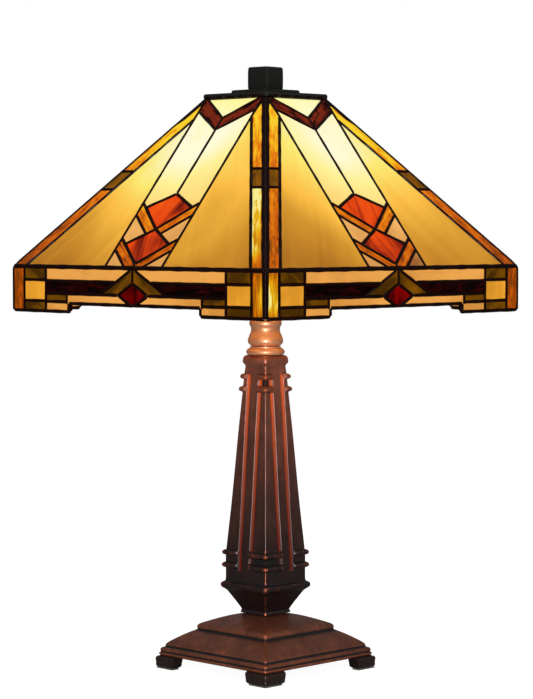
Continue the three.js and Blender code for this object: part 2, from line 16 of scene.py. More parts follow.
import bpy
import numpy as np
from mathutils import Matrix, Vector


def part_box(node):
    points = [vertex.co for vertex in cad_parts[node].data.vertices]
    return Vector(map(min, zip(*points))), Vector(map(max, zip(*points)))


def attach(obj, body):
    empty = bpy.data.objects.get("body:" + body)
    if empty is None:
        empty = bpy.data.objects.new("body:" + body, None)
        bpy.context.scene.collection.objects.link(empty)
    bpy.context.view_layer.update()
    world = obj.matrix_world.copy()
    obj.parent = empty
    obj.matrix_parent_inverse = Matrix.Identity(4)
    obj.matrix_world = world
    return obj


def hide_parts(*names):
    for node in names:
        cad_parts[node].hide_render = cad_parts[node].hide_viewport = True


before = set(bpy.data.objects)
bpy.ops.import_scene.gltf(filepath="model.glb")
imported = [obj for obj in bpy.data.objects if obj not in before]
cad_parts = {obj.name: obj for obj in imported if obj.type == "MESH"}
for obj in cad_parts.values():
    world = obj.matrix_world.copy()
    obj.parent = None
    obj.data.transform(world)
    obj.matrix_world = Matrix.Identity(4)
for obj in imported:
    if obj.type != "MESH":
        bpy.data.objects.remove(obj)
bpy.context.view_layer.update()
LOG = logging.getLogger("lamp")
MM = 0.001
SIDES = ("front", "right", "back", "left")
CORNERS = ("front_right", "back_right", "back_left", "front_left")
Colour = tuple[float, float, float, float]
Socket = bpy.types.NodeSocket
Outline = Sequence[tuple[float, float]]


def srgb(red: int, green: int, blue: int) -> Colour:
    """A colour given as 8-bit display values, as the linear colour a shader takes.

    Args:
        red: red, from 0 to 255.
        green: green.
        blue: blue.

    Returns:
        The colour with an alpha of 1.
    """
    share = np.array([red, green, blue]) / 255.0
    linear = np.where(share <= 0.04045, share / 12.92, ((share + 0.055) / 1.055) ** 2.4)
    return (*(float(value) for value in linear), 1.0)


# ---- surfaces ------------------------------------------------------------------------------------


@dataclass
class Shell:
    """A closed surface: points in millimetres, its faces, and values carried by its points."""

    points: np.ndarray
    quads: np.ndarray
    triangles: np.ndarray
    values: dict[str, np.ndarray] = field(default_factory=dict)

    def moved(self, turn: np.ndarray, shift: Sequence[float] = (0.0, 0.0, 0.0)) -> "Shell":
        """The shell turned by a 3 by 3 matrix and then shifted."""
        return replace(self, points=self.points @ np.asarray(turn).T + np.asarray(shift))

    def quarter(self, index: int) -> "Shell":
        """The shell turned by a number of quarter turns about Z."""
        return self.moved(quarter_matrix(index))


def quarter_matrix(index: int) -> np.ndarray:
    """The matrix of a number of quarter turns about Z."""
    cosine, sine = ((1, 0), (0, 1), (-1, 0), (0, -1))[index % 4]
    return np.array([[cosine, -sine, 0], [sine, cosine, 0], [0, 0, 1]], float)


def loft(rings: np.ndarray, closed: bool = False, **values: np.ndarray) -> Shell:
    """Skins a grid of rings.

    Point (i, j) is point j of ring i. Each ring closes on itself. Neighbouring rings are joined by quads,
    and the first and last ring are closed by a fan about their middle, or joined to each other.

    Args:
        rings: array of shape (rings, points, 3).
        closed: True joins the last ring to the first.
        values: arrays of shape (rings, points) to carry on the points.

    Returns:
        The shell, facing outwards where the points run anticlockwise as seen from the far end.
    """
    count, size = rings.shape[:2]
    index = np.arange(count * size).reshape(count, size)
    upper = np.roll(index, -1, axis=0) if closed else index[1:]
    lower = index if closed else index[:-1]
    corners = (lower, np.roll(lower, -1, 1), np.roll(upper, -1, 1), upper)
    quads = np.stack(corners, axis=-1).reshape(-1, 4)
    points = rings.reshape(-1, 3)
    triangles = np.zeros((0, 3), int)
    carried = {name: np.asarray(value, float).reshape(-1) for name, value in values.items()}
    if not closed:
        middles = np.stack([rings[0].mean(0), rings[-1].mean(0)])
        points = np.vstack([points, middles])
        first, last = index[0], index[-1]
        hub, top = np.full(size, count * size), np.full(size, count * size + 1)
        low_fan = np.stack([hub, np.roll(first, -1), first], axis=-1)
        high_fan = np.stack([top, last, np.roll(last, -1)], axis=-1)
        triangles = np.vstack([low_fan, high_fan])
        for name, value in carried.items():
            grid = value.reshape(count, size)
            carried[name] = np.append(value, [grid[0].mean(), grid[-1].mean()])
    return Shell(points, quads, triangles, carried)


def join(shells: Iterable[Shell]) -> Shell:
    """Several shells as one, kept apart from each other.

    Args:
        shells: the shells, which carry the same values.

    Returns:
        One shell.
    """
    parts = list(shells)
    starts = np.cumsum([0] + [len(part.points) for part in parts[:-1]])
    names = parts[0].values.keys()
    return Shell(
        np.vstack([part.points for part in parts]),
        np.vstack([part.quads + start for part, start in zip(parts, starts)]),
        np.vstack([part.triangles + start for part, start in zip(parts, starts)]),
        {name: np.concatenate([part.values[name] for part in parts]) for name in names},
    )


def smoothstep(value: np.ndarray) -> np.ndarray:
    """Eases from 0 to 1 as the value goes from 0 to 1: 3t squared less 2t cubed, clipped."""
    share = np.clip(value, 0.0, 1.0)
    return share * share * (3.0 - 2.0 * share)


def soften(profile: Outline, rounds: int = 2, share: float = 0.25, wrap: bool = False) -> np.ndarray:
    """Rounds an outline by cutting its corners.

    In each round every side is replaced by the points that lie the given share from its two ends.

    Args:
        profile: the outline's points.
        rounds: how many times the corners are cut.
        share: how much of each side a cut takes.
        wrap: True for an outline that closes on itself.

    Returns:
        The rounded outline. The two ends of an open outline stay where they are.
    """
    points = np.asarray(profile, float)
    for _ in range(rounds):
        start = points if wrap else points[:-1]
        end = np.roll(points, -1, axis=0) if wrap else points[1:]
        near, far = start + (end - start) * share, end + (start - end) * share
        cut = np.stack([near, far], axis=1).reshape(-1, points.shape[1])
        points = cut if wrap else np.vstack([points[:1], cut, points[-1:]])
    return points


def convexity(rings: np.ndarray, radius: float) -> np.ndarray:
    """How sharply a grid bends outwards, from -1 in a crease to 1 on an edge.

    Along each of the two grid directions the unit steps to both neighbours are added up. The part of that
    sum that points against the normal, over the mean step, is the curvature. It is multiplied by the radius.

    Args:
        rings: array of shape (rings, points, 3), as for loft.
        radius: the radius of an edge that counts as sharp.

    Returns:
        The convexity at each point, smoothed once over its neighbours.
    """
    around_next, around_last = np.roll(rings, -1, 1), np.roll(rings, 1, 1)
    up_next = np.concatenate([rings[1:], 2 * rings[-1:] - rings[-2:-1]])
    up_last = np.concatenate([2 * rings[:1] - rings[1:2], rings[:-1]])
    normal = np.cross(around_next - around_last, up_next - up_last)
    normal /= np.linalg.norm(normal, axis=-1, keepdims=True) + 1e-9
    total = np.zeros(rings.shape[:2])
    for after, before in ((around_next, around_last), (up_next, up_last)):
        steps = [side - rings for side in (after, before)]
        lengths = [np.linalg.norm(step, axis=-1) + 1e-6 for step in steps]
        bend = sum(step / length[..., None] for step, length in zip(steps, lengths))
        curvature = -(bend * normal).sum(-1) / (0.5 * (lengths[0] + lengths[1]))
        total += np.clip(curvature * radius, -1.0, 1.0)
    padded = np.concatenate([total[:1], total, total[-1:]])
    smooth = 0.5 * total + 0.25 * (padded[2:] + padded[:-2])
    smooth = 0.5 * smooth + 0.25 * (np.roll(smooth, 1, 1) + np.roll(smooth, -1, 1))
    return np.clip(smooth, -1.0, 1.0)


def circles(radii: np.ndarray, levels: np.ndarray) -> np.ndarray:
    """Rings about Z: point j of ring i is at turn j, at radius (i, j) and at level i.

    Args:
        radii: array of shape (rings, points).
        levels: the height of each ring.

    Returns:
        Array of shape (rings, points, 3).
    """
    angle = np.linspace(0.0, math.tau, radii.shape[1], endpoint=False)
    height = np.broadcast_to(levels[:, None], radii.shape)
    return np.stack([radii * np.cos(angle), radii * np.sin(angle), height], axis=-1)


def lifted(plan: np.ndarray, level: np.ndarray) -> np.ndarray:
    """Flat points of shape (rings, points, 2) with their heights, which are repeated to fit."""
    height = np.broadcast_to(level[..., None], (*plan.shape[:2], 1))
    return np.concatenate([plan, height], axis=-1)


def lathe(profile: Outline, segments: int = 72, closed: bool = False,
          thread: tuple[float, float, float, float] | None = None) -> Shell:
    """Turns a profile about Z.

    Ring i is a circle with the radius and height of profile point i. A thread adds a wave to the radius:
    depth times the sine of the turn angle less the full turns per pitch of height.

    Args:
        profile: radius and height of each ring, upwards on the outside.
        segments: points in each ring.
        closed: True for a profile that closes on itself and leaves a bore.
        thread: pitch and depth of a thread, and the heights where it starts and ends.

    Returns:
        The turned shell.
    """
    points = np.asarray(profile, float)
    radius = np.repeat(points[:, :1], segments, axis=1)
    if thread:
        pitch, depth, low, high = thread
        angle = np.linspace(0.0, math.tau, segments, endpoint=False)
        height = points[:, 1:2]
        inside = ((height >= low) & (height <= high)).astype(float)
        radius = radius + depth * inside * np.sin(angle[None, :] - math.tau * height / pitch)
    return loft(circles(radius, points[:, 1]), closed)


def square_quarter(half: np.ndarray, corner: np.ndarray, across: np.ndarray, arc: int) -> np.ndarray:
    """The front face and the corner after it, of square rings with round corners.

    Along the face x goes from one arc to the other and y is minus the half width. The corner is a quarter
    circle about the point that lies the corner radius inside both faces.

    Args:
        half: half width of each ring.
        corner: corner radius of each ring.
        across: x of the face's points in each ring, of shape (rings, points).
        arc: number of points on the corner, besides the face's own.

    Returns:
        Array of shape (rings, points + arc, 2), to be repeated by quarter turns.
    """
    face = np.stack([across, np.repeat(-half[:, None], across.shape[1], axis=1)], axis=-1)
    angle = np.linspace(-math.pi / 2, 0.0, arc + 2)[None, 1:-1]
    hub = (half - corner)[:, None]
    radius = corner[:, None]
    bend = np.stack([hub + radius * np.cos(angle), -hub + radius * np.sin(angle)], axis=-1)
    return np.concatenate([face, bend], axis=1)


def square_rings(profile: np.ndarray, corner: float, columns: int = 8, arc: int = 5) -> np.ndarray:
    """Square rings with round corners, one for each (half width, height) of a profile.

    Args:
        profile: half width and height of each ring.
        corner: corner radius, held inside the half width.
        columns: points along each face.
        arc: points on each corner, besides the faces' own.

    Returns:
        Array of shape (rings, points, 3).
    """
    half, height = profile[:, 0], profile[:, 1]
    radius = np.minimum(np.broadcast_to(corner, half.shape), half * 0.98)
    across = np.linspace(-1.0, 1.0, columns)[None, :] * (half - radius)[:, None]
    quarter = square_quarter(half, radius, across, arc)
    plan = np.concatenate([quarter @ quarter_matrix(k)[:2, :2].T for k in range(4)], axis=1)
    return lifted(plan, height[:, None])


def sweep(path: np.ndarray, outward: np.ndarray, sections: np.ndarray) -> Shell:
    """Carries a section along a path that lies in a plane.

    At each step the section's first coordinate lies across the path, and its second along the direction that
    is square to the path and nearest to the outward one.

    Args:
        path: the path's points.
        outward: a direction that the section's second coordinate leans to.
        sections: array of shape (steps, section points, 2), anticlockwise.

    Returns:
        The closed run.
    """
    tangent = np.gradient(path, axis=0)
    tangent /= np.linalg.norm(tangent, axis=1, keepdims=True)
    side = np.cross(tangent, outward)
    side /= np.linalg.norm(side, axis=1, keepdims=True)
    up = np.cross(side, tangent)
    across = sections[..., :1] * side[:, None, :]
    rise = sections[..., 1:] * up[:, None, :]
    return loft((path[:, None, :] + across + rise)[:, ::-1])


def lengths_along(path: np.ndarray) -> np.ndarray:
    """The distance of each point of a path from its start."""
    steps = np.linalg.norm(np.diff(path, axis=0), axis=1)
    return np.concatenate([[0.0], np.cumsum(steps)])


def closing(along: np.ndarray, end: float) -> np.ndarray:
    """How far a run is open: it closes over its last stretch as a quarter circle does."""
    share = np.clip(np.minimum(along, along[-1] - along) / end, 0.0, 1.0)
    return np.sqrt(np.clip(1.0 - (1.0 - share) ** 2, 0.0025, 1.0))


def bead(path: np.ndarray, outward: np.ndarray, width: float, height: float, seed: float = 0.0,
         sides: int = 12, lump: float = 0.05) -> Shell:
    """A run of solder along a path.

    The section is an oval with full sides. Its width and height swell slowly by sums of sines.

    Args:
        path: the centre line's points.
        outward: a direction square to the path.
        width: full width of the section.
        height: full height of the section.
        seed: shifts the waves, so that no two runs are alike.
        sides: points of the section.
        lump: how much the section swells, as a share.

    Returns:
        The closed run.
    """
    along = lengths_along(path)
    shut = closing(along, width / 2)
    wave = np.sin(along / 5.3 + seed) + 0.6 * np.sin(along / 2.9 + 2.3 * seed)
    swell = shut * (1.0 + lump * wave) * width / 2
    lift = shut * (1.0 + lump * np.cos(along / 4.3 - seed)) * height / 2
    angle = np.linspace(0.0, math.tau, sides, endpoint=False)
    full = np.sign(np.cos(angle)) * np.abs(np.cos(angle)) ** 0.8
    sections = np.stack([swell[:, None] * full, lift[:, None] * np.sin(angle)], axis=-1)
    return sweep(path, outward, sections)


def stepped_path(points: Sequence[Sequence[float]], step: float, end: float) -> np.ndarray:
    """Points along a polyline about a step apart, and closer where its two ends close.

    Args:
        points: the polyline's corners.
        step: the distance between points.
        end: how long each closing end is.

    Returns:
        Array of shape (points, 3).
    """
    corners = np.asarray(points, float)
    reach = lengths_along(corners)
    length = reach[-1]
    middle = np.linspace(end, length - end, max(2, int(length / step)))
    tips = end * np.array([0.0, 0.12, 0.4, 0.7])
    along = np.concatenate([tips, middle, length - tips[::-1]])
    return np.stack([np.interp(along, reach, corners[:, axis]) for axis in range(3)], axis=1)


# ---- materials: small helpers and shared effects ---------------------------------------------------


class Graph:
    """Writes one node tree: adds nodes, sets their sockets and links them."""

    def __init__(self, tree: bpy.types.NodeTree) -> None:
        """Takes the tree to write in."""
        self.tree = tree

    def add(self, kind: str, inputs: dict | None = None, **settings: object) -> bpy.types.Node:
        """Adds a node.

        Args:
            kind: the node's type, without its ShaderNode prefix.
            inputs: socket names or numbers with the socket or the constant that each one takes.
            settings: the node's own properties.

        Returns:
            The new node.
        """
        node = self.tree.nodes.new(kind if kind.startswith("Node") else f"ShaderNode{kind}")
        for name, value in settings.items():
            setattr(node, name, value)
        for key, value in (inputs or {}).items():
            self.put(node.inputs[key], value)
        return node

    def put(self, socket: Socket, value: object) -> None:
        """Feeds an input with another socket or with a constant.

        Args:
            socket: the input.
            value: the socket or the constant that it takes.
        """
        if isinstance(value, Socket):
            self.tree.links.new(value, socket)
        else:
            socket.default_value = value

    def place(self) -> Socket:
        """The coordinates of the object, in metres."""
        return self.add("TexCoord").outputs["Object"]

    def carried(self, name: str) -> Socket:
        """A value carried by the mesh."""
        return self.add("Attribute", attribute_name=name).outputs["Fac"]

    def math(self, operation: str, *values: object, clamp: bool = False) -> Socket:
        """One step of arithmetic on values."""
        node = self.add("Math", dict(enumerate(values)), operation=operation, use_clamp=clamp)
        return node.outputs[0]

    def mix(self, factor: object, first: object, second: object) -> Socket:
        """One colour blended into another.

        Args:
            factor: the share of the second colour.
            first: the first colour.
            second: the second colour.

        Returns:
            The blend.
        """
        inputs = {0: factor, 6: first, 7: second}
        node = self.add("Mix", inputs, data_type="RGBA", clamp_factor=True)
        return node.outputs[2]

    def span(self, value: Socket, low: float, high: float, to_low: float, to_high: float) -> Socket:
        """A value moved from one range to another, and held inside it."""
        inputs = {"Value": value, "From Min": low, "From Max": high, "To Min": to_low, "To Max": to_high}
        return self.add("MapRange", inputs).outputs["Result"]

    def ramp(self, factor: Socket, stops: Sequence[tuple[float, Colour]]) -> Socket:
        """A colour that goes through the given stops.

        Args:
            factor: the value that picks the colour.
            stops: positions from 0 to 1 with their colours.

        Returns:
            The colour.
        """
        node = self.add("ValToRGB", {"Fac": factor})
        elements = node.color_ramp.elements
        while len(elements) < len(stops):
            elements.new(1.0)
        for element, (position, colour) in zip(elements, stops):
            element.position = position
            element.color = colour
        return node.outputs["Color"]

    def noise(self, vector: Socket, scale: object, detail: float = 4.0, roughness: float = 0.5,
              distortion: float = 0.0) -> Socket:
        """Soft noise from 0 to 1.

        Args:
            vector: the coordinates.
            scale: how many waves fit in a unit.
            detail: the number of octaves.
            roughness: the strength of each octave in the last.
            distortion: how far the pattern is bent.

        Returns:
            The value.
        """
        inputs = {"Vector": vector, "Scale": scale, "Detail": detail, "Roughness": roughness,
                  "Distortion": distortion}
        return self.add("TexNoise", inputs).outputs["Fac"]

    def stretch(self, vector: Socket, scale: tuple[float, float, float]) -> Socket:
        """Coordinates scaled along each axis."""
        return self.add("Mapping", {"Vector": vector, "Scale": scale}).outputs["Vector"]

    def distance(self, vector: Socket, place: Sequence[float]) -> Socket:
        """How far the coordinates are from a point given in millimetres."""
        inputs = {0: vector, 1: tuple(value * MM for value in place)}
        return self.add("VectorMath", inputs, operation="DISTANCE").outputs["Value"]

    def bump(self, height: Socket, strength: float, distance: float) -> Socket:
        """A normal tilted by a height in metres."""
        inputs = {"Height": height, "Strength": strength, "Distance": distance}
        return self.add("Bump", inputs).outputs["Normal"]

    def shared(self, write: Callable[..., dict[str, Socket]], **inputs: object) -> bpy.types.NodeOutputs:
        """Places a shared effect: a node group, which is built the first time it is asked for.

        Args:
            write: writes the effect, from a graph and the socket of each input, and gives its outputs.
            inputs: the socket or the constant for each input.

        Returns:
            The outputs, by their names.
        """
        tree = bpy.data.node_groups.get(write.__name__)
        if not tree:
            tree = bpy.data.node_groups.new(write.__name__, "ShaderNodeTree")
            for label in inputs:
                kind = "Vector" if label == "vector" else "Float"
                tree.interface.new_socket(label, in_out="INPUT", socket_type=f"NodeSocket{kind}")
            graph = Graph(tree)
            entry, leave = graph.add("NodeGroupInput"), graph.add("NodeGroupOutput")
            results = write(graph, **{label: entry.outputs[label] for label in inputs})
            for label, socket in results.items():
                tree.interface.new_socket(label, in_out="OUTPUT", socket_type="NodeSocketFloat")
                tree.links.new(socket, leave.inputs[label])
        return self.add("Group", inputs, node_tree=tree).outputs


def edge_wear(graph: Graph, edge: Socket, amount: Socket, vector: Socket) -> dict[str, Socket]:
    """The edge value, broken up by noise, masks rubbed edges; where the surface bends in, it masks painted
    shade.

    Args:
        graph: the effect's graph.
        edge: from -1 in a crease to 1 on an edge.
        amount: how much the edges are rubbed.
        vector: the coordinates.

    Returns:
        The sockets: a mask of rubbed edges, and a mask of painted shade.
    """
    patchy = graph.noise(vector, 95.0, 5.0, 0.62)
    raised = graph.math("MULTIPLY", edge, amount)
    total = graph.math("ADD", raised, graph.math("MULTIPLY_ADD", patchy, 1.1, -0.62))
    # painted shade: the more the surface bends in, the darker it is painted
    crease = graph.math("MULTIPLY", edge, -2.0, clamp=True)
    return {"Mask": graph.span(total, 0.26, 0.8, 0.0, 1.0), "Crease": crease}


def cast_grain(graph: Graph, vector: Socket) -> dict[str, Socket]:
    """The skin of a painted casting: broad mottling, and a fine height with a few pits.

    Args:
        graph: the effect's graph.
        vector: the coordinates.

    Returns:
        The sockets Mottle and Height.
    """
    broad = graph.noise(vector, 38.0, 6.0, 0.6, 0.4)
    fine = graph.noise(vector, 620.0, 3.0, 0.6)
    medium = graph.noise(vector, 150.0, 3.0, 0.5)
    height = graph.math("ADD", graph.math("MULTIPLY", fine, 0.35), medium)
    return {"Mottle": graph.span(broad, 0.3, 0.7, 0.0, 1.0), "Height": height}


def handling(graph: Graph, vector: Socket, base: Socket, spread: Socket) -> dict[str, Socket]:
    """Smudges and dust: a slow variation that lifts the roughness in soft patches.

    Args:
        graph: the effect's graph.
        vector: the coordinates.
        base: the roughness of the clean surface.
        spread: how far a smudge lifts it.

    Returns:
        The socket Roughness.
    """
    share = graph.span(graph.noise(vector, 55.0, 5.0, 0.65, 0.3), 0.35, 0.75, 0.0, 1.0)
    return {"Roughness": graph.math("ADD", base, graph.math("MULTIPLY", share, spread), clamp=True)}


def glass_flow(graph: Graph, vector: Socket, scale: Socket) -> dict[str, Socket]:
    """Rolled art glass: streaks along the sheet, soft clouds, and the ripple of its surface.

    The pattern's X runs along the streaks. Streaks are noise stretched along X and bent by a second noise.

    Args:
        graph: the effect's graph.
        vector: the coordinates in the sheet.
        scale: how fine the streaks are.

    Returns:
        The sockets Streak, Cloud and Height.
    """
    streak = graph.noise(graph.stretch(vector, (0.14, 1.0, 1.0)), scale, 5.0, 0.62, 0.9)
    cloud = graph.noise(vector, graph.math("MULTIPLY", scale, 0.28), 3.0, 0.5, 0.6)
    ripple = graph.noise(graph.stretch(vector, (0.45, 1.0, 1.0)), 170.0, 2.0, 0.5, 0.8)
    return {
        "Streak": graph.span(streak, 0.28, 0.72, 0.0, 1.0),
        "Cloud": graph.span(cloud, 0.3, 0.7, 0.0, 1.0),
        "Height": graph.math("ADD", ripple, graph.math("MULTIPLY", streak, 0.4)),
    }


@dataclass(frozen=True)
class Glow:
    """Where the painted glow of the glass is strongest: near the bulbs, and at spots of painted glare."""

    spread: float = 24.0  # of each bulb's light from the lamp's axis, along X and along Y
    height: float = 488.0
    reach: float = 69.0  # the shortest way from a bulb to the glass
    # painted glare where a bulb shows through the amber: a point of the glass and how far it spreads
    spots: tuple[tuple[float, float, float, float], ...] = (
        (101.0, -120.0, 474.0, 17.0), (113.0, -133.0, 459.0, 16.0), (128.0, -151.0, 443.0, 15.0),
        (143.0, -168.0, 424.0, 17.0), (187.0, -173.0, 378.0, 22.0),
    )

    def lamp_glow(self, graph: Graph, vector: Socket) -> dict[str, Socket]:
        """The painted light of the glass.

        Light is the square of the reach over the distance, added up over the bulbs. Glare is a bell curve of
        the distance from each spot, added up over the spots.

        Args:
            graph: the effect's graph.
            vector: the coordinates of the object.

        Returns:
            The sockets Light and Glare.
        """
        shares = []
        for sign in (1, -1):
            gap = graph.distance(vector, (sign * self.spread, sign * self.spread, self.height))
            share = graph.math("DIVIDE", self.reach * MM, gap)
            shares.append(graph.math("MULTIPLY", share, share))
        glare: object = 0.0
        for *place, radius in self.spots:
            near = graph.math("DIVIDE", graph.distance(vector, place), radius * MM)
            fall = graph.math("MULTIPLY", graph.math("MULTIPLY", near, near), -1.0)
            glare = graph.math("ADD", glare, graph.math("EXPONENT", fall))
        return {"Light": graph.math("ADD", *shares), "Glare": glare}


# ---- finishes --------------------------------------------------------------------------------------


def new_material(name: str) -> tuple[bpy.types.Material, Graph, bpy.types.Node]:
    """An empty material with its Principled shader and output linked.

    Args:
        name: the material's name.

    Returns:
        The material, its graph and its shader.
    """
    material = bpy.data.materials.new(name)
    material.use_nodes = True
    material.node_tree.nodes.clear()
    graph = Graph(material.node_tree)
    shader = graph.add("BsdfPrincipled")
    graph.add("OutputMaterial", {"Surface": shader.outputs["BSDF"]})
    return material, graph, shader


def feed(graph: Graph, shader: bpy.types.Node, **inputs: object) -> None:
    """Sets the shader's sockets, with underscores in place of the spaces of their names."""
    for name, value in inputs.items():
        graph.put(shader.inputs[name.replace("_", " ")], value)


def smudged(graph: Graph, place: Socket, base: float, spread: float) -> Socket:
    """A roughness that rises from its base in soft patches."""
    return graph.shared(handling, vector=place, base=base, spread=spread)["Roughness"]


@dataclass(frozen=True)
class Finish:
    """What every finish has: a name, a slot name, and a way to build its material."""

    name: str
    slot: str

    def material(self) -> bpy.types.Material:
        """The finish's material, written the first time it is asked for.

        Returns:
            The material.
        """
        material = bpy.data.materials.get(self.name)
        if not material:
            material, graph, shader = new_material(self.name)
            self.write(graph, shader, graph.place())
        return material

    def write(self, graph: Graph, shader: bpy.types.Node, place: Socket) -> None:
        """Writes the material's nodes."""
        raise NotImplementedError


@dataclass(frozen=True)
class Bronze(Finish):
    """Dark painted casting, rubbed to a rust red along its edges and at the bottom of its grooves; painted
    light warms its top, and painted shade darkens it where it bends in.
    """

    low: Colour = srgb(34, 18, 15)
    high: Colour = srgb(186, 108, 80)
    low_z: float = 60.0  # painted light from the bulbs above: the colour goes from its low to its high one between these heights
    high_z: float = 310.0
    edge: Colour = srgb(184, 92, 54)
    groove_low: Colour = srgb(84, 15, 4)
    groove_high: Colour = srgb(216, 90, 34)
    wear: float = 0.9
    stain: Colour = srgb(24, 14, 14)
    # painted shade: the dark colour put where the surface bends in, along steps and in pockets
    crease: Colour = srgb(18, 18, 20)
    varnish: Colour = srgb(200, 212, 235)

    def write(self, graph: Graph, shader: bpy.types.Node, place: Socket) -> None:
        """Writes the material's nodes.

        Args:
            graph: the material's graph.
            shader: its Principled shader.
            place: the coordinates of the object.
        """
        grain = graph.shared(cast_grain, vector=place)
        brushed = graph.noise(graph.stretch(place, (1.0, 1.0, 0.1)), 130.0, 4.0, 0.6)
        groove = graph.carried("groove")
        wear = graph.shared(edge_wear, edge=graph.carried("edge"), amount=self.wear, vector=place)
        height = graph.add("SeparateXYZ", {0: place}).outputs["Z"]
        # painted light: the body and groove colours grow lighter and warmer towards the top, as if lit by
        # the bulbs above
        share = graph.span(height, self.low_z * MM, self.high_z * MM, 0.0, 1.0)
        rise = graph.math("MULTIPLY", share, share)
        body = graph.mix(rise, self.low, self.high)
        patchy = graph.math("MULTIPLY", grain["Mottle"], graph.span(brushed, 0.36, 0.64, 0.35, 1.0))
        shaded = graph.mix(graph.span(patchy, 0.0, 0.8, 0.62, 0.0), body, self.stain)
        # painted shade where the surface bends in, along the base's steps and in the column's pockets
        crease = graph.mix(wear["Crease"], shaded, self.crease)
        rubbed = graph.mix(wear["Mask"], crease, self.edge)
        colour = graph.mix(groove, rubbed, graph.mix(rise, self.groove_low, self.groove_high))
        rough = smudged(graph, place, 0.34, 0.22)
        bare = graph.span(wear["Mask"], 0.0, 1.0, 0.55, 0.85)
        metal = graph.math("SUBTRACT", bare, groove, clamp=True)
        normal = graph.bump(grain["Height"], 0.22, 0.0006)
        feed(graph, shader, Base_Color=colour, Roughness=rough, Metallic=metal, Normal=normal)
        feed(graph, shader, Coat_Roughness=0.24, Coat_Tint=self.varnish)
        feed(graph, shader, Coat_Weight=graph.span(groove, 0.0, 1.0, 0.28, 0.0))
        feed(graph, shader, Specular_IOR_Level=graph.span(groove, 0.0, 0.8, 0.5, 0.04))


@dataclass(frozen=True)
class Metal(Finish):
    """A plain or plated metal with brushed or cast skin, smudged here and there."""

    colour: Colour
    shade: Colour
    rough: float = 0.3
    metallic: float = 1.0
    grain: float = 160.0
    relief: float = 0.08
    coat: float = 0.0
    shine: float = 0.5

    def write(self, graph: Graph, shader: bpy.types.Node, place: Socket) -> None:
        """Writes the material's nodes.

        Args:
            graph: the material's graph.
            shader: its Principled shader.
            place: the coordinates of the object.
        """
        mottle = graph.shared(cast_grain, vector=place)["Mottle"]
        colour = graph.mix(graph.span(mottle, 0.0, 1.0, 0.0, 0.5), self.colour, self.shade)
        rough = smudged(graph, place, self.rough, 0.16)
        fine = graph.noise(place, self.grain, 4.0, 0.6)
        normal = graph.bump(fine, self.relief, 0.001)
        feed(graph, shader, Base_Color=colour, Roughness=rough, Normal=normal)
        feed(graph, shader, Metallic=self.metallic, Specular_IOR_Level=self.shine)
        feed(graph, shader, Coat_Weight=self.coat, Coat_Roughness=0.12)


@dataclass(frozen=True)
class Felt(Finish):
    """Pressed felt: a dark pile of short tangled fibres."""

    def write(self, graph: Graph, shader: bpy.types.Node, place: Socket) -> None:
        """Writes the material's nodes.

        Args:
            graph: the material's graph.
            shader: its Principled shader.
            place: the coordinates of the object.
        """
        fibre = graph.noise(place, 900.0, 5.0, 0.8, 2.0)
        colour = graph.mix(fibre, srgb(30, 29, 27), srgb(66, 62, 57))
        normal = graph.bump(fibre, 0.8, 0.0006)
        feed(graph, shader, Base_Color=colour, Roughness=0.95, Normal=normal, Sheen_Weight=0.4)


@dataclass(frozen=True)
class Porcelain(Finish):
    """Glazed socket porcelain with faint specks."""

    def write(self, graph: Graph, shader: bpy.types.Node, place: Socket) -> None:
        """Writes the material's nodes.

        Args:
            graph: the material's graph.
            shader: its Principled shader.
            place: the coordinates of the object.
        """
        specks = graph.span(graph.noise(place, 420.0, 2.0, 0.4), 0.68, 0.76, 0.0, 0.6)
        colour = graph.mix(specks, srgb(226, 219, 204), srgb(120, 104, 84))
        rough = smudged(graph, place, 0.22, 0.2)
        feed(graph, shader, Base_Color=colour, Roughness=rough, Coat_Weight=0.5)


@dataclass(frozen=True)
class LitBulb(Finish):
    """Frosted bulb glass, lit: pale in the middle of its outline and warmer towards the edge."""

    strength: float = 0.86

    def write(self, graph: Graph, shader: bpy.types.Node, place: Socket) -> None:
        """Writes the material's nodes.

        Args:
            graph: the material's graph.
            shader: its Principled shader.
            place: the coordinates of the object.
        """
        facing = graph.add("LayerWeight", {"Blend": 0.35}).outputs["Facing"]
        cloud = graph.span(graph.noise(place, 60.0, 3.0), 0.3, 0.7, -0.05, 0.05)
        glow = graph.ramp(graph.math("ADD", facing, cloud), [
            (0.0, srgb(255, 246, 216)),
            (0.45, srgb(255, 226, 160)),
            (1.0, srgb(236, 150, 62)),
        ])
        normal = graph.bump(graph.noise(place, 700.0, 2.0, 0.5), 0.1, 0.0005)
        feed(graph, shader, Base_Color=srgb(120, 112, 98), Roughness=0.35, Normal=normal)
        feed(graph, shader, Emission_Color=glow, Emission_Strength=self.strength)


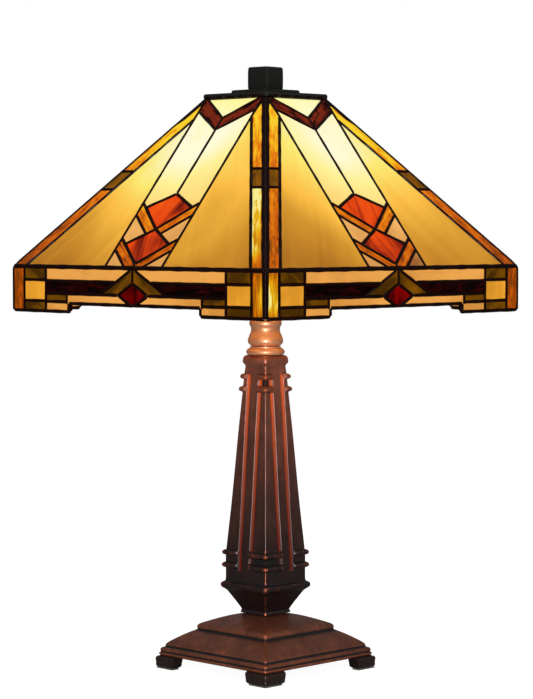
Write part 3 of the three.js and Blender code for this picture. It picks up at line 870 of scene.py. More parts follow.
class Tint(Enum):
    """The glass colours of the shade, each as the colours of its painted glow, from far from the bulbs to
    near them.
    """

    BEIGE = ((150, 95, 22), (200, 136, 38), (254, 192, 68), (255, 238, 116), (255, 252, 196))
    CREAM = ((190, 140, 66), (232, 186, 90), (250, 212, 114), (255, 244, 154), (255, 255, 222))
    PALE = ((190, 140, 66), (232, 190, 90), (255, 234, 124), (255, 250, 152), (255, 255, 205))
    PEACH = ((150, 92, 44), (212, 150, 78), (244, 182, 98), (250, 204, 128), (255, 228, 170))
    AMBER = ((124, 56, 2), (190, 82, 2), (233, 124, 5), (251, 186, 24), (255, 222, 48))
    RED = ((84, 14, 2), (136, 28, 3), (234, 72, 5), (253, 92, 8), (255, 128, 34))
    CHEVRON = ((8, 1, 1), (20, 3, 2), (38, 6, 3), (60, 11, 5), (124, 38, 16))
    OLIVE = ((66, 40, 1), (98, 60, 1), (132, 80, 2), (154, 98, 6), (182, 126, 18))
    BONE = ((204, 138, 60), (228, 158, 74), (244, 178, 90), (250, 200, 116), (255, 220, 150))
    HONEY = ((208, 140, 38), (232, 160, 46), (244, 176, 58), (250, 196, 84), (255, 216, 120))
    GARNET = ((6, 0, 0), (22, 1, 1), (48, 2, 2), (84, 6, 5), (126, 18, 12))
    RUBY = ((20, 0, 0), (84, 0, 0), (130, 1, 0), (158, 4, 3), (190, 20, 12))


@dataclass(frozen=True)
class ArtGlass(Finish):
    """Rolled art glass, streaky, rippled and glossy, with the light from the bulbs behind it painted in as
    emission.
    """

    tint: Tint = Tint.BEIGE
    streaks: float = 0.3  # how strongly the streaks shade the colour
    clouds: float = 0.2
    scale: float = 60.0
    ripple: float = 0.25
    glare: float = 0.0  # how much painted glare of the bulbs shows through
    shine: float = 0.08
    strength: float = 0.92
    glow: Glow = Glow()

    def write(self, graph: Graph, shader: bpy.types.Node, place: Socket) -> None:
        """Writes the material's nodes.

        Args:
            graph: the material's graph.
            shader: its Principled shader.
            place: the coordinates of the object.
        """
        sheet = graph.add("UVMap", uv_map="grain").outputs["UV"]
        flow = graph.shared(glass_flow, vector=sheet, scale=self.scale)
        lamp = graph.shared(self.glow.lamp_glow, vector=place)
        light = graph.span(lamp["Light"], 0.1, 1.3, 0.0, 1.0)
        swing = graph.math("SUBTRACT", flow["Streak"], 0.5)
        drift = graph.math("SUBTRACT", flow["Cloud"], 0.5)
        change = graph.math("ADD", graph.math("MULTIPLY", swing, self.streaks),
                            graph.math("MULTIPLY", drift, self.clouds))
        level = graph.math("MULTIPLY_ADD", light, graph.math("ADD", change, 1.0),
                           graph.math("MULTIPLY", change, 0.35))
        stops = [(at, srgb(*shade)) for at, shade in zip((0.0, 0.1, 0.34, 0.66, 1.0), self.tint.value)]
        colour = graph.ramp(level, stops)
        if self.glare:
            share = graph.math("MULTIPLY", lamp["Glare"], graph.span(flow["Streak"], 0.1, 0.9, 0.55, 1.6))
            hot = graph.ramp(share, [(0.0, srgb(255, 142, 4)), (0.45, srgb(255, 172, 8)),
                                     (0.8, srgb(255, 214, 30)), (1.0, srgb(255, 246, 150))])
            colour = graph.mix(graph.math("MULTIPLY", share, self.glare), colour, hot)
        body = graph.mix(0.85, srgb(*self.tint.value[0]), (0.0, 0.0, 0.0, 1.0))
        normal = graph.bump(flow["Height"], self.ripple, 0.0012)
        rough = smudged(graph, place, 0.08, 0.12)
        feed(graph, shader, Base_Color=body, Roughness=rough, Normal=normal, Specular_IOR_Level=self.shine)
        # painted light: the glass glows by emission, brighter near the bulbs, though it is no lamp
        feed(graph, shader, Emission_Color=colour, Emission_Strength=self.strength)


GLASS = {
    Tint.BEIGE: ArtGlass("glass_beige", "opal_glass", Tint.BEIGE, 0.16, 0.34, 26.0, 0.12),
    Tint.CREAM: ArtGlass("glass_cream", "opal_glass", Tint.CREAM, 0.12, 0.2, 26.0, 0.1),
    Tint.PALE: ArtGlass("glass_pale", "opal_glass", Tint.PALE, 0.1, 0.2, 26.0, 0.1),
    Tint.PEACH: ArtGlass("glass_peach", "opal_glass", Tint.PEACH, 0.3, 0.5, 40.0, 0.12),
    Tint.AMBER: ArtGlass("glass_amber", "amber_glass", Tint.AMBER, 0.95, 0.4, 290.0, 0.6, 1.0),
    Tint.RED: ArtGlass("glass_red", "amber_glass", Tint.RED, 0.7, 0.9, 60.0, 0.3),
    Tint.CHEVRON: ArtGlass("glass_chevron", "amber_glass", Tint.CHEVRON, 2.0, 0.6, 260.0, 0.5, shine=0.04),
    Tint.OLIVE: ArtGlass("glass_olive", "amber_glass", Tint.OLIVE, 0.9, 0.9, 90.0, 0.5, shine=0.06),
    Tint.BONE: ArtGlass("glass_bone", "opal_glass", Tint.BONE, 0.3, 0.4, 60.0, 0.15),
    Tint.HONEY: ArtGlass("glass_honey", "opal_glass", Tint.HONEY, 0.3, 0.5, 60.0, 0.15),
    Tint.GARNET: ArtGlass("glass_garnet", "amber_glass", Tint.GARNET, 1.7, 0.6, 240.0, 0.6, shine=0.05),
    Tint.RUBY: ArtGlass("glass_ruby", "amber_glass", Tint.RUBY, 1.2, 0.9, 90.0, 0.2, shine=0.05),
}
COLUMN_BRONZE = Bronze("bronze_column", "bronze")
BASE_BRONZE = Bronze("bronze_base", "bronze", srgb(138, 76, 50), srgb(138, 76, 50), wear=0.7)
FOOT_BRONZE = Bronze("bronze_feet", "bronze", srgb(50, 32, 26), srgb(50, 32, 26), wear=0.4)
COPPER = Metal("satin_copper", "copper", srgb(234, 162, 114), srgb(216, 140, 94), 0.38, 0.68, coat=0.8)
BRASS = Metal("spun_brass", "brass", srgb(186, 148, 84), srgb(140, 104, 56), 0.3)
STEEL = Metal("plated_steel", "steel", srgb(170, 168, 164), srgb(120, 118, 114), 0.36, relief=0.15)
BLACK = Metal("black_cast", "black_metal", srgb(14, 14, 12), srgb(26, 25, 21), 0.5, 0.0, 260.0, 0.4,
              shine=0.16)
# painted light: the solder is near black, and its faint red-brown tint is painted glow from the lit glass
# beside it
LEAD = Metal("solder", "lead", srgb(20, 5, 3), srgb(9, 3, 2), 0.2, 0.0, 60.0, 0.03, shine=0.05)
PLASTIC = Metal("moulded_plastic", "black_plastic", srgb(20, 19, 18), srgb(30, 28, 26), 0.4, 0.0)
FELT = Felt("pressed_felt", "felt")
PORCELAIN = Porcelain("glazed_porcelain", "porcelain")
BULB = LitBulb("lit_bulb_glass", "bulb_glass")


def add_piece(name: str, shell: Shell, finish: Finish, body: str, nodes: Sequence[str] = (),
              grain: np.ndarray | None = None, sharp: float = 40.0) -> bpy.types.Object:
    """Writes a shell as a finished object that rides on a body.

    Args:
        name: the object's name.
        shell: the surface.
        finish: its finish.
        body: the body that it rides on.
        nodes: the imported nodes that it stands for.
        grain: pattern coordinates of each point, in metres.
        sharp: edges that bend by more degrees than this stay crisp.

    Returns:
        The new object.
    """
    faces = [shell.quads, shell.triangles]
    corners = np.concatenate([part.reshape(-1) for part in faces])
    sizes = np.concatenate([np.full(len(part), part.shape[1]) for part in faces])
    mesh = bpy.data.meshes.new(name)
    mesh.vertices.add(len(shell.points))
    mesh.vertices.foreach_set("co", (shell.points * MM).astype(np.float32).ravel())
    mesh.loops.add(len(corners))
    mesh.loops.foreach_set("vertex_index", corners.astype(np.int32))
    mesh.polygons.add(len(sizes))
    mesh.polygons.foreach_set("loop_start", np.concatenate([[0], np.cumsum(sizes)[:-1]]).astype(np.int32))
    mesh.polygons.foreach_set("loop_total", sizes.astype(np.int32))
    if grain is not None:
        layer = mesh.uv_layers.new(name="grain")
        layer.data.foreach_set("uv", grain[corners].astype(np.float32).ravel())
    for label, value in shell.values.items():
        layer = mesh.attributes.new(label, "FLOAT", "POINT")
        layer.data.foreach_set("value", value.astype(np.float32))
    mesh.update(calc_edges=True)
    mesh.shade_smooth()
    mesh.set_sharp_from_angle(angle=math.radians(sharp))
    mesh.materials.append(finish.material())
    piece = bpy.data.objects.new(name, mesh)
    bpy.context.scene.collection.objects.link(piece)
    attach(piece, body)
    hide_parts(*nodes)
    LOG.info("%s: %d faces, rides on %s", name, len(sizes), body)
    return piece


# ---- shade ------------------------------------------------------------------------------------------


@dataclass(frozen=True)
class Plane:
    """The plane of one shade panel: u across, v up the panel, and the outward normal."""

    origin: np.ndarray
    across: np.ndarray
    up: np.ndarray
    out: np.ndarray

    def place(self, u: np.ndarray, v: np.ndarray, n: np.ndarray) -> np.ndarray:
        """Points of the plane's own coordinates, in the lamp's frame."""
        parts = zip((self.across, self.up, self.out), (u, v, n))
        return self.origin + sum(np.asarray(value)[..., None] * axis for axis, value in parts)


@dataclass(frozen=True)
class Pane:
    """One cut piece of glass: its tint, its outline, and the direction of its streaks in degrees."""

    tint: Tint
    outline: Outline
    streak: float = 90.0
    mirrored: bool = True


@dataclass(frozen=True)
class Run:
    """One straight run of leading between two points of a panel."""

    start: tuple[float, float]
    end: tuple[float, float]
    width: float


@dataclass
class Shade:
    """The leaded shade: four sloping panels, each over an upright apron, joined by solder beads."""

    half: float
    eave_z: float
    top_z: float
    apron_height: float
    top_half: float = 43.0
    body: str = "shade"
    glass: float = 3.0  # thickness
    solder: float = 1.35  # how far a bead stands off the glass
    hip_strip: float = 19.0
    band: float = 40.0  # half width of the middle band
    apron_step: float = 8.2
    apron_step_u: float = 94.0
    pane_gap: float = 0.35
    arris: float = 0.5
    heavy_leg: float = 4.2  # how far the solder reaches along each face at the front and back corners
    light_leg: float = 1.7  # and at the two others
    eave_radius: float = 2.3
    fold_inset: float = 0.8
    bead_step: float = 2.6
    olive_low: float = 98.0  # how far up the slope the olive piece of the hip starts, and where it ends
    olive_high: float = 121.0
    corner_strip: float = 160.0  # where the apron's amber strip starts, from the middle
    corner_square: float = 127.0
    pane_shift: tuple[float, float] = (3.7, 5.3)  # sets the patterns of the pieces apart, by their place
    side_shift: float = 0.137  # metres, between the patterns of two sides

    def __post_init__(self) -> None:
        """Works out the slope and the two planes of the front side."""
        run, rise = self.half - self.top_half, self.top_z - self.eave_z
        self.run = run
        self.slope = math.hypot(run, rise)
        cosine, sine = run / self.slope, rise / self.slope
        origin = np.array([0.0, -self.half, self.eave_z])
        across = np.array([1.0, 0.0, 0.0])
        self.roof = Plane(origin, across, np.array([0.0, cosine, sine]), np.array([0.0, -sine, cosine]))
        self.apron = Plane(origin, across, np.array([0.0, 0.0, 1.0]), np.array([0.0, -1.0, 0.0]))

    def edge(self, v: float) -> float:
        """Half width of a roof panel, a distance up the slope."""
        return self.half - self.run * v / self.slope

    def strip(self, v: float) -> float:
        """Where the amber strip along the hip ends, a distance up the slope."""
        return self.edge(v) - self.hip_strip

    def meet(self) -> float:
        """How far up the slope the middle band meets the strip along the hip."""
        return (self.strip(0) - self.band) * self.slope / self.run

    def roof_panes(self) -> list[Pane]:
        """The cut pieces of one roof panel, for u from 0 up.

        Returns:
            The pieces, in the coordinates of the panel.
        """
        top, band = self.slope, self.band
        meet = self.meet()
        low, high = self.olive_low, self.olive_high
        hip = math.degrees(math.atan2(self.slope, -self.run))
        return [
            Pane(Tint.AMBER, [(self.edge(high), high), (self.edge(top), top), (band, meet),
                              (self.strip(high), high)], hip),
            Pane(Tint.OLIVE, [(self.edge(low), low), (self.edge(high), high), (self.strip(high), high),
                              (self.strip(low), low)], hip),
            Pane(Tint.AMBER, [(self.half, 0), (self.edge(low), low), (self.strip(low), low),
                              (self.strip(0), 0)], hip),
            Pane(Tint.BEIGE, [(band, 0), (self.strip(0), 0), (band, meet)], 118.0),
            Pane(Tint.CREAM, [(0, 91), (32.5, 74), (band, 80), (band, 197), (0, 172)]),
            Pane(Tint.AMBER, [(0, 47.3), (10.5, 41.8), (band, 65), (band, 80)], 38.0),
            Pane(Tint.PEACH, [(10.5, 41.8), (31, 29), (band, 36), (band, 65)], 60.0),
            Pane(Tint.RED, [(0, 91), (-32.5, 74), (0, 47.3), (32.5, 74)], 75.0, False),
            Pane(Tint.RED, [(0, 47.3), (-31, 29), (0, 5), (31, 29)], 105.0, False),
            Pane(Tint.AMBER, [(0, 5), (0, 0), (11.5, 0), (band, 22), (band, 36)], 38.0),
            Pane(Tint.PEACH, [(11.5, 0), (band, 0), (band, 22)], 60.0),
            Pane(Tint.PALE, [(0, 187), (37, top), (-37, top)], 90.0, False),
            Pane(Tint.CHEVRON, [(0, 172), (band, 197), (band, top), (37, top), (0, 187)], 34.0),
        ]

    def roof_runs(self) -> list[Run]:
        """The leading of one roof panel, for u from 0 up.

        Returns:
            The runs, in the coordinates of the panel.
        """
        top, band = self.slope, self.band
        meet = self.meet()
        low, high = self.olive_low, self.olive_high
        return [
            Run((0, 91), (0, 172), 3.4), Run((0, 172), (0, 187), 3.2), Run((0, 172), (band, 197), 3.7),
            Run((0, 187), (37, top), 3.4), Run((band, 0), (band, top), 3.4),
            Run((self.strip(0), 0), (band, meet), 4.1),
            Run((self.strip(low), low), (self.edge(low), low), 3.7),
            Run((self.strip(high), high), (self.edge(high), high), 3.7), Run((0, 91), (32.5, 74), 4.1),
            Run((0, 47.3), (band, 80), 4.1), Run((10.5, 41.8), (band, 65), 3.7),
            Run((0, 47.3), (31, 29), 4.1), Run((0, 5), (band, 36), 4.1), Run((0, 0), (0, 5), 3.7),
            Run((11.5, 0), (band, 22), 3.7),
        ]

    def apron_panes(self) -> list[Pane]:
        """The cut pieces of one apron panel, for u from 0 up; v is minus the depth below the eave.

        Returns:
            The pieces, in the coordinates of the panel.
        """
        low = -self.apron_height
        middle = low + self.apron_step
        strip, square, step = self.corner_strip, self.corner_square, self.apron_step_u
        return [
            Pane(Tint.AMBER, [(strip, low), (self.half, low), (self.half, 0), (strip, 0)]),
            Pane(Tint.OLIVE, [(square, -13), (strip, -13), (strip, 0), (square, 0)], 40.0),
            Pane(Tint.HONEY, [(square, -33.5), (strip, -33.5), (strip, -13), (square, -13)]),
            Pane(Tint.OLIVE, [(square, low), (strip, low), (strip, -33.5), (square, -33.5)], 30.0),
            Pane(Tint.BONE, [(24, -13.5), (square, -13.5), (square, 0), (2, -1.5)], 0.0),
            Pane(Tint.GARNET, [(47, -26), (square, -26), (square, -13.5), (24, -13.5)], 4.0),
            Pane(Tint.OLIVE, [(95.5, -34), (square, -34), (square, -26), (95.5, -26)], 20.0),
            Pane(Tint.BONE, [(step, low), (square, low), (square, -34), (step, -34)], 0.0),
            Pane(Tint.BONE, [(3, middle), (95.5, middle), (95.5, -26), (21, -26)], 0.0),
            Pane(Tint.OLIVE, [(0, -14.5), (21, -26), (47, -26), (3, -2), (0, -1)], -30.0),
            Pane(Tint.RUBY, [(0, middle), (21, -26), (0, -14.5), (-21, -26)], 80.0, False),
        ]

    def apron_runs(self) -> list[Run]:
        """The leading of one apron panel, for u from 0 up.

        Returns:
            The runs, in the coordinates of the panel.
        """
        low = -self.apron_height
        middle = low + self.apron_step
        strip, square, step = self.corner_strip, self.corner_square, self.apron_step_u
        return [
            Run((strip, 0), (strip, low + 1), 3.7), Run((square, 0), (square, low + 1), 3.7),
            Run((strip, -13), (square, -13), 3.7), Run((strip, -33.5), (square, -33.5), 3.7),
            Run((square, -13.5), (25, -13.5), 3.7), Run((square, -26), (21, -26), 3.9),
            Run((square, -34), (95.5, -34), 3.9), Run((95.5, -26), (95.5, middle), 3.4),
            Run((0, -1), (0, -14.5), 3.2), Run((3, -2), (47, -26), 3.6), Run((0, -14.5), (21, -26), 3.9),
            Run((21, -26), (2, -36), 3.9), Run((0, middle + 1.4), (step - 1, middle + 1.4), 3.9),
            Run((step - 1, middle + 1.4), (step - 1, low + 1.5), 3.9),
            Run((step - 1, low + 1.5), (self.half - 1, low + 1.5), 3.9),
        ]

    def cut_glass(self, pane: Pane, plane: Plane, mirror: int) -> tuple[Shell, np.ndarray]:
        """One cut piece of glass.

        The outline is drawn in by half the joint. Four rings of it follow each other through the thickness,
        and the outer two are drawn in again by the arris, so that the cut edges are eased.

        Args:
            pane: the piece.
            plane: the panel's plane.
            mirror: 1, or -1 for the piece across the panel's middle.

        Returns:
            The closed piece, and the pattern coordinates of its points, with X along the streaks.
        """
        outline = np.asarray(pane.outline, float) * (mirror, 1)
        outline = outline[::mirror]
        twice_area = np.cross(outline, np.roll(outline, -1, axis=0)).sum()
        outline = outline if twice_area > 0 else outline[::-1]
        depths = (-self.glass, -self.glass + self.arris, -self.arris, 0.0)
        insets = (self.pane_gap + self.arris, self.pane_gap, self.pane_gap, self.pane_gap + self.arris)
        flat = np.stack([draw_in(outline, inset) for inset in insets])
        level = np.repeat(np.asarray(depths)[:, None], len(outline), axis=1)
        shell = loft(plane.place(flat[..., 0], flat[..., 1], level))
        angle = math.radians(pane.streak) * mirror + (math.pi if mirror < 0 else 0.0)
        heading = np.array([[math.cos(angle), math.sin(angle)], [-math.sin(angle), math.cos(angle)]])
        offset = outline.mean(0) * self.pane_shift
        flat_points = np.vstack([flat.reshape(-1, 2), flat[0].mean(0), flat[-1].mean(0)])
        return shell, (flat_points @ heading.T + offset) * MM

    def build_glass(self, side: str, index: int) -> None:
        """Cuts every piece of one side, gathered by panel and tint.

        Args:
            side: the side's name.
            index: how many quarter turns it is from the front.
        """
        for panel, plane, panes in (("roof", self.roof, self.roof_panes()),
                                    ("apron", self.apron, self.apron_panes())):
            for tint in sorted({pane.tint for pane in panes}, key=lambda shade: shade.name):
                cut = [self.cut_glass(pane, plane, mirror)
                       for pane in panes if pane.tint is tint
                       for mirror in ((1, -1) if pane.mirrored else (1,))]
                grain = np.vstack([coordinates for _, coordinates in cut]) + index * self.side_shift
                shell = join(shell for shell, _ in cut).quarter(index)
                add_piece(f"{panel}_{tint.name.lower()}_{side}", shell, GLASS[tint], self.body,
                          [f"{panel}_glass_{side}"], grain)

    def build_leading(self, side: str, index: int) -> None:
        """Runs the solder of one side, on both faces of the glass.

        Args:
            side: the side's name.
            index: how many quarter turns it is from the front.
        """
        for panel, plane, runs in (("roof", self.roof, self.roof_runs()),
                                   ("apron", self.apron, self.apron_runs())):
            beads = []
            for number, run in enumerate(runs):
                for mirror in ((1, -1) if (run.start[0] or run.end[0]) else (1,)):
                    ends = np.array([run.start, run.end], float) * (mirror, 1)
                    middle = np.full(2, -self.glass / 2)
                    line = plane.place(ends[:, 0], ends[:, 1], middle)
                    path = stepped_path(line, self.bead_step, run.width / 2)
                    seed = number * 1.7 + mirror + index * 0.9
                    beads.append(bead(path, plane.out, run.width, self.glass + 2 * self.solder, seed))
            add_piece(f"{panel}_solder_{side}", join(beads).quarter(index), LEAD, self.body,
                      [f"{panel}_leading_{side}"])

    def build_folds(self, side: str, corner: str, index: int) -> None:
        """Runs the heavy solder along one eave and one hip.

        Args:
            side: the side's name.
            corner: the name of the corner after it.
            index: how many quarter turns it is from the front.
        """
        fold = self.half - self.fold_inset
        ends = [(-fold, -fold, self.eave_z), (fold, -fold, self.eave_z)]
        eave = stepped_path(ends, self.bead_step, 2.0)
        outward = np.array([0.0, -1.0, 0.6])
        run = bead(eave, outward, 2 * self.eave_radius, 2 * self.eave_radius, index + 0.4, 14, 0.07)
        add_piece(f"eave_solder_{side}", run.quarter(index), LEAD, self.body, [f"eave_came_{side}"])
        run = self.hip_bead(self.heavy_leg if index % 2 == 0 else self.light_leg, index + 2.2)
        add_piece(f"hip_solder_{corner}", run.quarter(index), LEAD, self.body, [f"hip_came_{corner}"])

    def hip_bead(self, leg: float, seed: float) -> Shell:
        """The solder that wraps one hip and the apron's corner below it.

        In the section the glass faces fall away from the corner at the hip's slope. The solder covers each
        face as far as its leg and stands a little off it, and fills the corner inside.

        Args:
            leg: how far the solder reaches along each face.
            seed: shifts the waves along it.

        Returns:
            The run beside the front side's right end.
        """
        top, fold, bottom = self.top_half, self.half, self.eave_z - self.apron_height
        corners = np.array([
            (top - 1.2, 1.2 - top, self.top_z + 1.4),
            (fold, -fold, self.eave_z),
            (fold, -fold, bottom + 1.0),
        ])
        path = stepped_path(soften(corners, 3, 0.03), 2.4, 2.0)
        along = lengths_along(path)
        wave = 0.05 * np.sin(along / 7.1 + seed) + 0.04 * np.sin(along / 3.3 + 2.1 * seed)
        near_cap = smoothstep((path[:, 2] - self.top_z + 26.0) / 10.0)
        reach = (leg + (self.heavy_leg - leg) * near_cap) * (1.0 + wave)
        normal = np.array([1.0, -1.0, 2.0 * self.run / (self.top_z - self.eave_z)])
        lean = normal[0] * math.sqrt(2) / np.linalg.norm(normal)
        roof_fall = lean / math.sqrt(2.0 - lean**2)
        fall = np.where(path[:, 2] > self.eave_z, roof_fall, 1.0)
        stand, depth = self.solder * 0.75, self.glass + self.solder
        half = [(0.0, stand), (0.5, stand), (0.86, stand * 0.9), (1.06, 0.1), (0.95, -depth * 0.6),
                (0.45, -depth * 1.15)]
        outline = np.array(half + [(-across, rise) for across, rise in half[:0:-1]])
        across = outline[None, :, 0] * reach[:, None] * np.cos(np.arctan(fall))[:, None]
        rise = outline[None, :, 1] - np.abs(across) * fall[:, None]
        rough = np.stack([across, rise], axis=-1)
        sections = np.stack([soften(section, 2, 0.24, wrap=True) for section in rough])
        middle = np.array([0.0, -1.5])
        shut = closing(along, 2.0)[:, None, None]
        return sweep(path, np.array([1.0, -1.0, 0.0]), middle + (sections[:, ::-1] - middle) * shut)

    def build(self) -> None:
        """Builds all four sides."""
        for index, (side, corner) in enumerate(zip(SIDES, CORNERS)):
            self.build_glass(side, index)
            self.build_leading(side, index)
            self.build_folds(side, corner, index)


def draw_in(outline: np.ndarray, distance: float) -> np.ndarray:
    """A convex outline with every side moved inwards.

    Each side's line is shifted along its inward normal, and each corner is where its two lines cross.

    Args:
        outline: the corners, anticlockwise, of shape (points, 2).
        distance: how far each side moves.

    Returns:
        The corners of the smaller outline.
    """
    following = np.roll(outline, -1, axis=0)
    along = following - outline
    along /= np.linalg.norm(along, axis=1, keepdims=True)
    inward = np.stack([-along[:, 1], along[:, 0]], axis=1)
    before = np.roll(inward, 1, axis=0)
    shared = 1.0 + (inward * before).sum(1, keepdims=True)
    return outline + (inward + before) / shared * distance


# ---- top fittings -----------------------------------------------------------------------------------


@dataclass
class TopFittings:
    """The square cap on the shade, the plate on it and the square finial that holds them down."""

    cap_low: float
    cap_high: float
    cap_half: float
    plate_low: float
    plate_high: float
    plate_half: float
    finial_low: float
    finial_high: float
    finial_half: float = 12.7
    finial_turn: float = 5.0
    sheet: float = 1.8
    vent_reach: float = 34.0
    vent_radius: float = 3.5

    def build_cap(self) -> None:
        """Builds the pressed cap, its vents and the solder run round its rim."""
        half, low, high = self.cap_half, self.cap_low, self.cap_high
        profile = soften([
            (0.5, high - self.sheet), (half - 4.2, high - self.sheet), (half - 4.2, low),
            (half - 0.5, low), (half - 0.1, high - 2.4), (half - 0.8, high), (0.5, high),
        ], 2, 0.12)
        rings = square_rings(profile, 4.0)
        nodes = ["top_cap"]
        add_piece("top_cap_pressing", loft(rings), BLACK, "shade", nodes)
        add_piece("cap_rim_solder", self.rim_bead(half - 2.5, low + 1.5), LEAD, "shade", nodes)
        vents = []
        for index in range(4):
            centre = quarter_matrix(index) @ np.array([self.vent_reach, 0.0, 0.0])
            disc = [(0.1, high - 0.05), (self.vent_radius, high - 0.05), (self.vent_radius, high + 0.02),
                    (0.1, high + 0.02)]
            vents.append(lathe(disc, 24).moved(np.eye(3), centre))
        add_piece("cap_vents", join(vents), PLASTIC, "shade", nodes)

    def rim_bead(self, reach: float, level: float, radius: float = 2.4) -> Shell:
        """The solder run round the cap's rim: a round section that swells and thins along a square.

        Args:
            reach: half the width of the square.
            level: the height of its middle.
            radius: the radius of the section.

        Returns:
            The closed run.
        """
        angle = np.linspace(0.0, math.tau, 14, endpoint=False)
        oval = np.stack([reach + radius * np.cos(angle), level + radius * np.sin(angle)], axis=1)
        middle = square_rings(np.array([[reach, level]]), 5.0, 44, 7)
        rings = square_rings(oval, 5.0, 44, 7)
        turn = np.linspace(0.0, math.tau, rings.shape[1], endpoint=False)
        wave = 0.09 * np.sin(23 * turn + 0.7) + 0.07 * np.sin(41 * turn) + 0.05 * np.cos(67 * turn)
        return loft(middle + (rings - middle) * (1.0 + wave)[None, :, None], closed=True)

    def build(self) -> None:
        """Builds the three fittings."""
        self.build_cap()
        low, high, half = self.plate_low, self.plate_high, self.plate_half
        plate = soften([
            (0.5, low), (half, low), (half + 0.3, low + 1.6), (half - 0.6, high), (0.5, high),
        ], 2, 0.1)
        add_piece("cap_plate_cast", loft(square_rings(plate, 1.0)), BLACK, "shade", ["cap_plate"])
        low, high, half = self.finial_low, self.finial_high, self.finial_half
        block = soften([
            (0.5, low), (half - 0.5, low), (half, low + 1.2), (half, high - 1.6), (half - 1.4, high),
            (0.5, high - 0.2),
        ], 3, 0.2)
        angle = math.radians(self.finial_turn)
        turn = np.array([[math.cos(angle), -math.sin(angle), 0], [math.sin(angle), math.cos(angle), 0],
                         [0, 0, 1]])
        shell = loft(square_rings(block, 1.1)).moved(turn)
        add_piece("finial_block", shell, BLACK, "finial", ["finial"])


# ---- base and column -----------------------------------------------------------------------------------


@dataclass
class Base:
    """The stepped square base: a hollow plinth on four bracket feet with felt under them."""

    top_z: float
    foot_half: float
    plinth_low: float = 13.0
    corner: float = 2.6
    creases: tuple[tuple[float, float], ...] = ((38.4, 1.3), (22.2, 0.7), (16.8, 0.8))  # painted shade in bands along the steps and mouldings: height, half width

    def build_plinth(self) -> None:
        """Lofts the plinth, from the middle of its hollow, out and down, and up over its mouldings."""
        outer = soften(diagonal([
            (106.4, self.plinth_low), (108.0, 14.3), (107.9, 15.4), (106.2, 16.5), (106.4, 17.6),
            (106.8, 18.8), (105.6, 20.6), (102.0, 21.3), (101.2, 22.6), (101.3, 24.0), (99.6, 25.4),
            (96.6, 27.2), (87.0, 32.0), (77.8, 36.0), (70.0, 38.8), (69.2, 39.8), (69.9, 42.0),
            (68.8, 43.9), (65.2, 45.6), (45.0, 51.4), (28.0, self.top_z - 1.0), (1.0, self.top_z - 0.3),
        ]), 2, 0.22)
        hollow = diagonal([(1, 40), (58, 40), (62, 34.5), (88, 20.5), (93, 15), (93.5, self.plinth_low)])
        profile = np.vstack([hollow, outer])
        rings = square_rings(profile, self.corner, 14, 7)
        edge = convexity(rings, 1.1)
        # painted shade: the edge value is pushed down along each band, which the finish darkens
        for line, reach in self.creases:
            edge -= 0.4 * np.exp(-((rings[..., 2] - line) / reach) ** 2) * (np.abs(rings[..., 0]) > 1.0)
        edge = np.clip(edge, -1.0, 1.0)
        shell = loft(rings, edge=edge, groove=np.zeros(edge.shape))
        add_piece("base_plinth", shell, BASE_BRONZE, "stand", ["base_casting"], sharp=60.0)

    def dents(self, along: np.ndarray, level: np.ndarray, half: np.ndarray) -> np.ndarray:
        """How deep the cast dents of a foot's outer face are: a bell curve round each of two points.

        Args:
            along: distance of each point along the face.
            level: its height.
            half: how far out it is.

        Returns:
            The depth of the dent at each point.
        """
        places = ((16.0, 5.4), (3.4, 4.8))
        bells = [np.exp(-((along - self.foot_half + back) ** 2 + (level - rise) ** 2) / 1.6)
                 for back, rise in places]
        return sum(bells) * (half > 75.0)

    def foot(self, index: int) -> Shell:
        """One bracket foot.

        Each section point runs along the front face from the arch to the corner, round it, and back along
        the next face. The arch's curve sets where it starts, by its height.

        Args:
            index: how many quarter turns it is from the front right.

        Returns:
            The closed foot.
        """
        section = soften(diagonal([
            (110.2, 1.5), (111.4, 3.2), (111.2, 6.0), (111.7, 9.0), (111.7, 10.6), (110.4, 11.8),
            (107.6, 12.4), (105.0, 13.6), (94.0, 13.6), (94.0, 1.5),
        ]), 2, 0.16, wrap=True)
        half, level = section[:, 0], section[:, 1]
        arch = np.interp(level, [1.5, 2.4, 3.6, 6.0, 10.0, 13.0],
                         [54.6, 52.8, 52.0, 51.6, 51.2, 49.6])
        corner = np.interp(half, [66.0, 74.0, 78.9], [0.6, 1.2, 3.2])
        share = np.linspace(0.0, 1.0, 36)[:, None]
        reach = half - corner
        along = arch + (reach - arch) * share
        sunk = half - self.dents(along, level, half)
        face = np.stack([along, -sunk], axis=-1)
        angle = np.linspace(-math.pi / 2, 0.0, 9)[1:-1, None]
        bend = np.stack([reach + corner * np.cos(angle), -reach + corner * np.sin(angle)], axis=-1)
        after = np.stack([sunk, -along], axis=-1)[::-1]
        rings = lifted(np.concatenate([face, bend, after]), level[None, :])[:, ::-1]
        edge = convexity(rings, 1.0)
        return loft(rings, edge=edge, groove=np.zeros(edge.shape)).quarter(index)

    def build(self) -> None:
        """Builds the plinth and the feet, and dresses the felt."""
        self.build_plinth()
        for index, corner in enumerate(CORNERS):
            add_piece(f"bracket_foot_{corner}", self.foot(index), FOOT_BRONZE, "stand", ["base_casting"],
                      sharp=60.0)
            dress(f"foot_pad_{corner}", FELT)


def diagonal(profile: Outline) -> list[tuple[float, float]]:
    """Half diagonals of square sections, given as half widths."""
    return [(radius / math.sqrt(2), height) for radius, height in profile]


def dress(node: str, finish: Finish) -> None:
    """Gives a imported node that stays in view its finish.

    Args:
        node: the node's name.
        finish: the finish it gets.
    """
    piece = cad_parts[node]
    piece.data.materials.clear()
    piece.data.materials.append(finish.material())
    LOG.info("%s keeps its packed shape, in %s", node, finish.name)


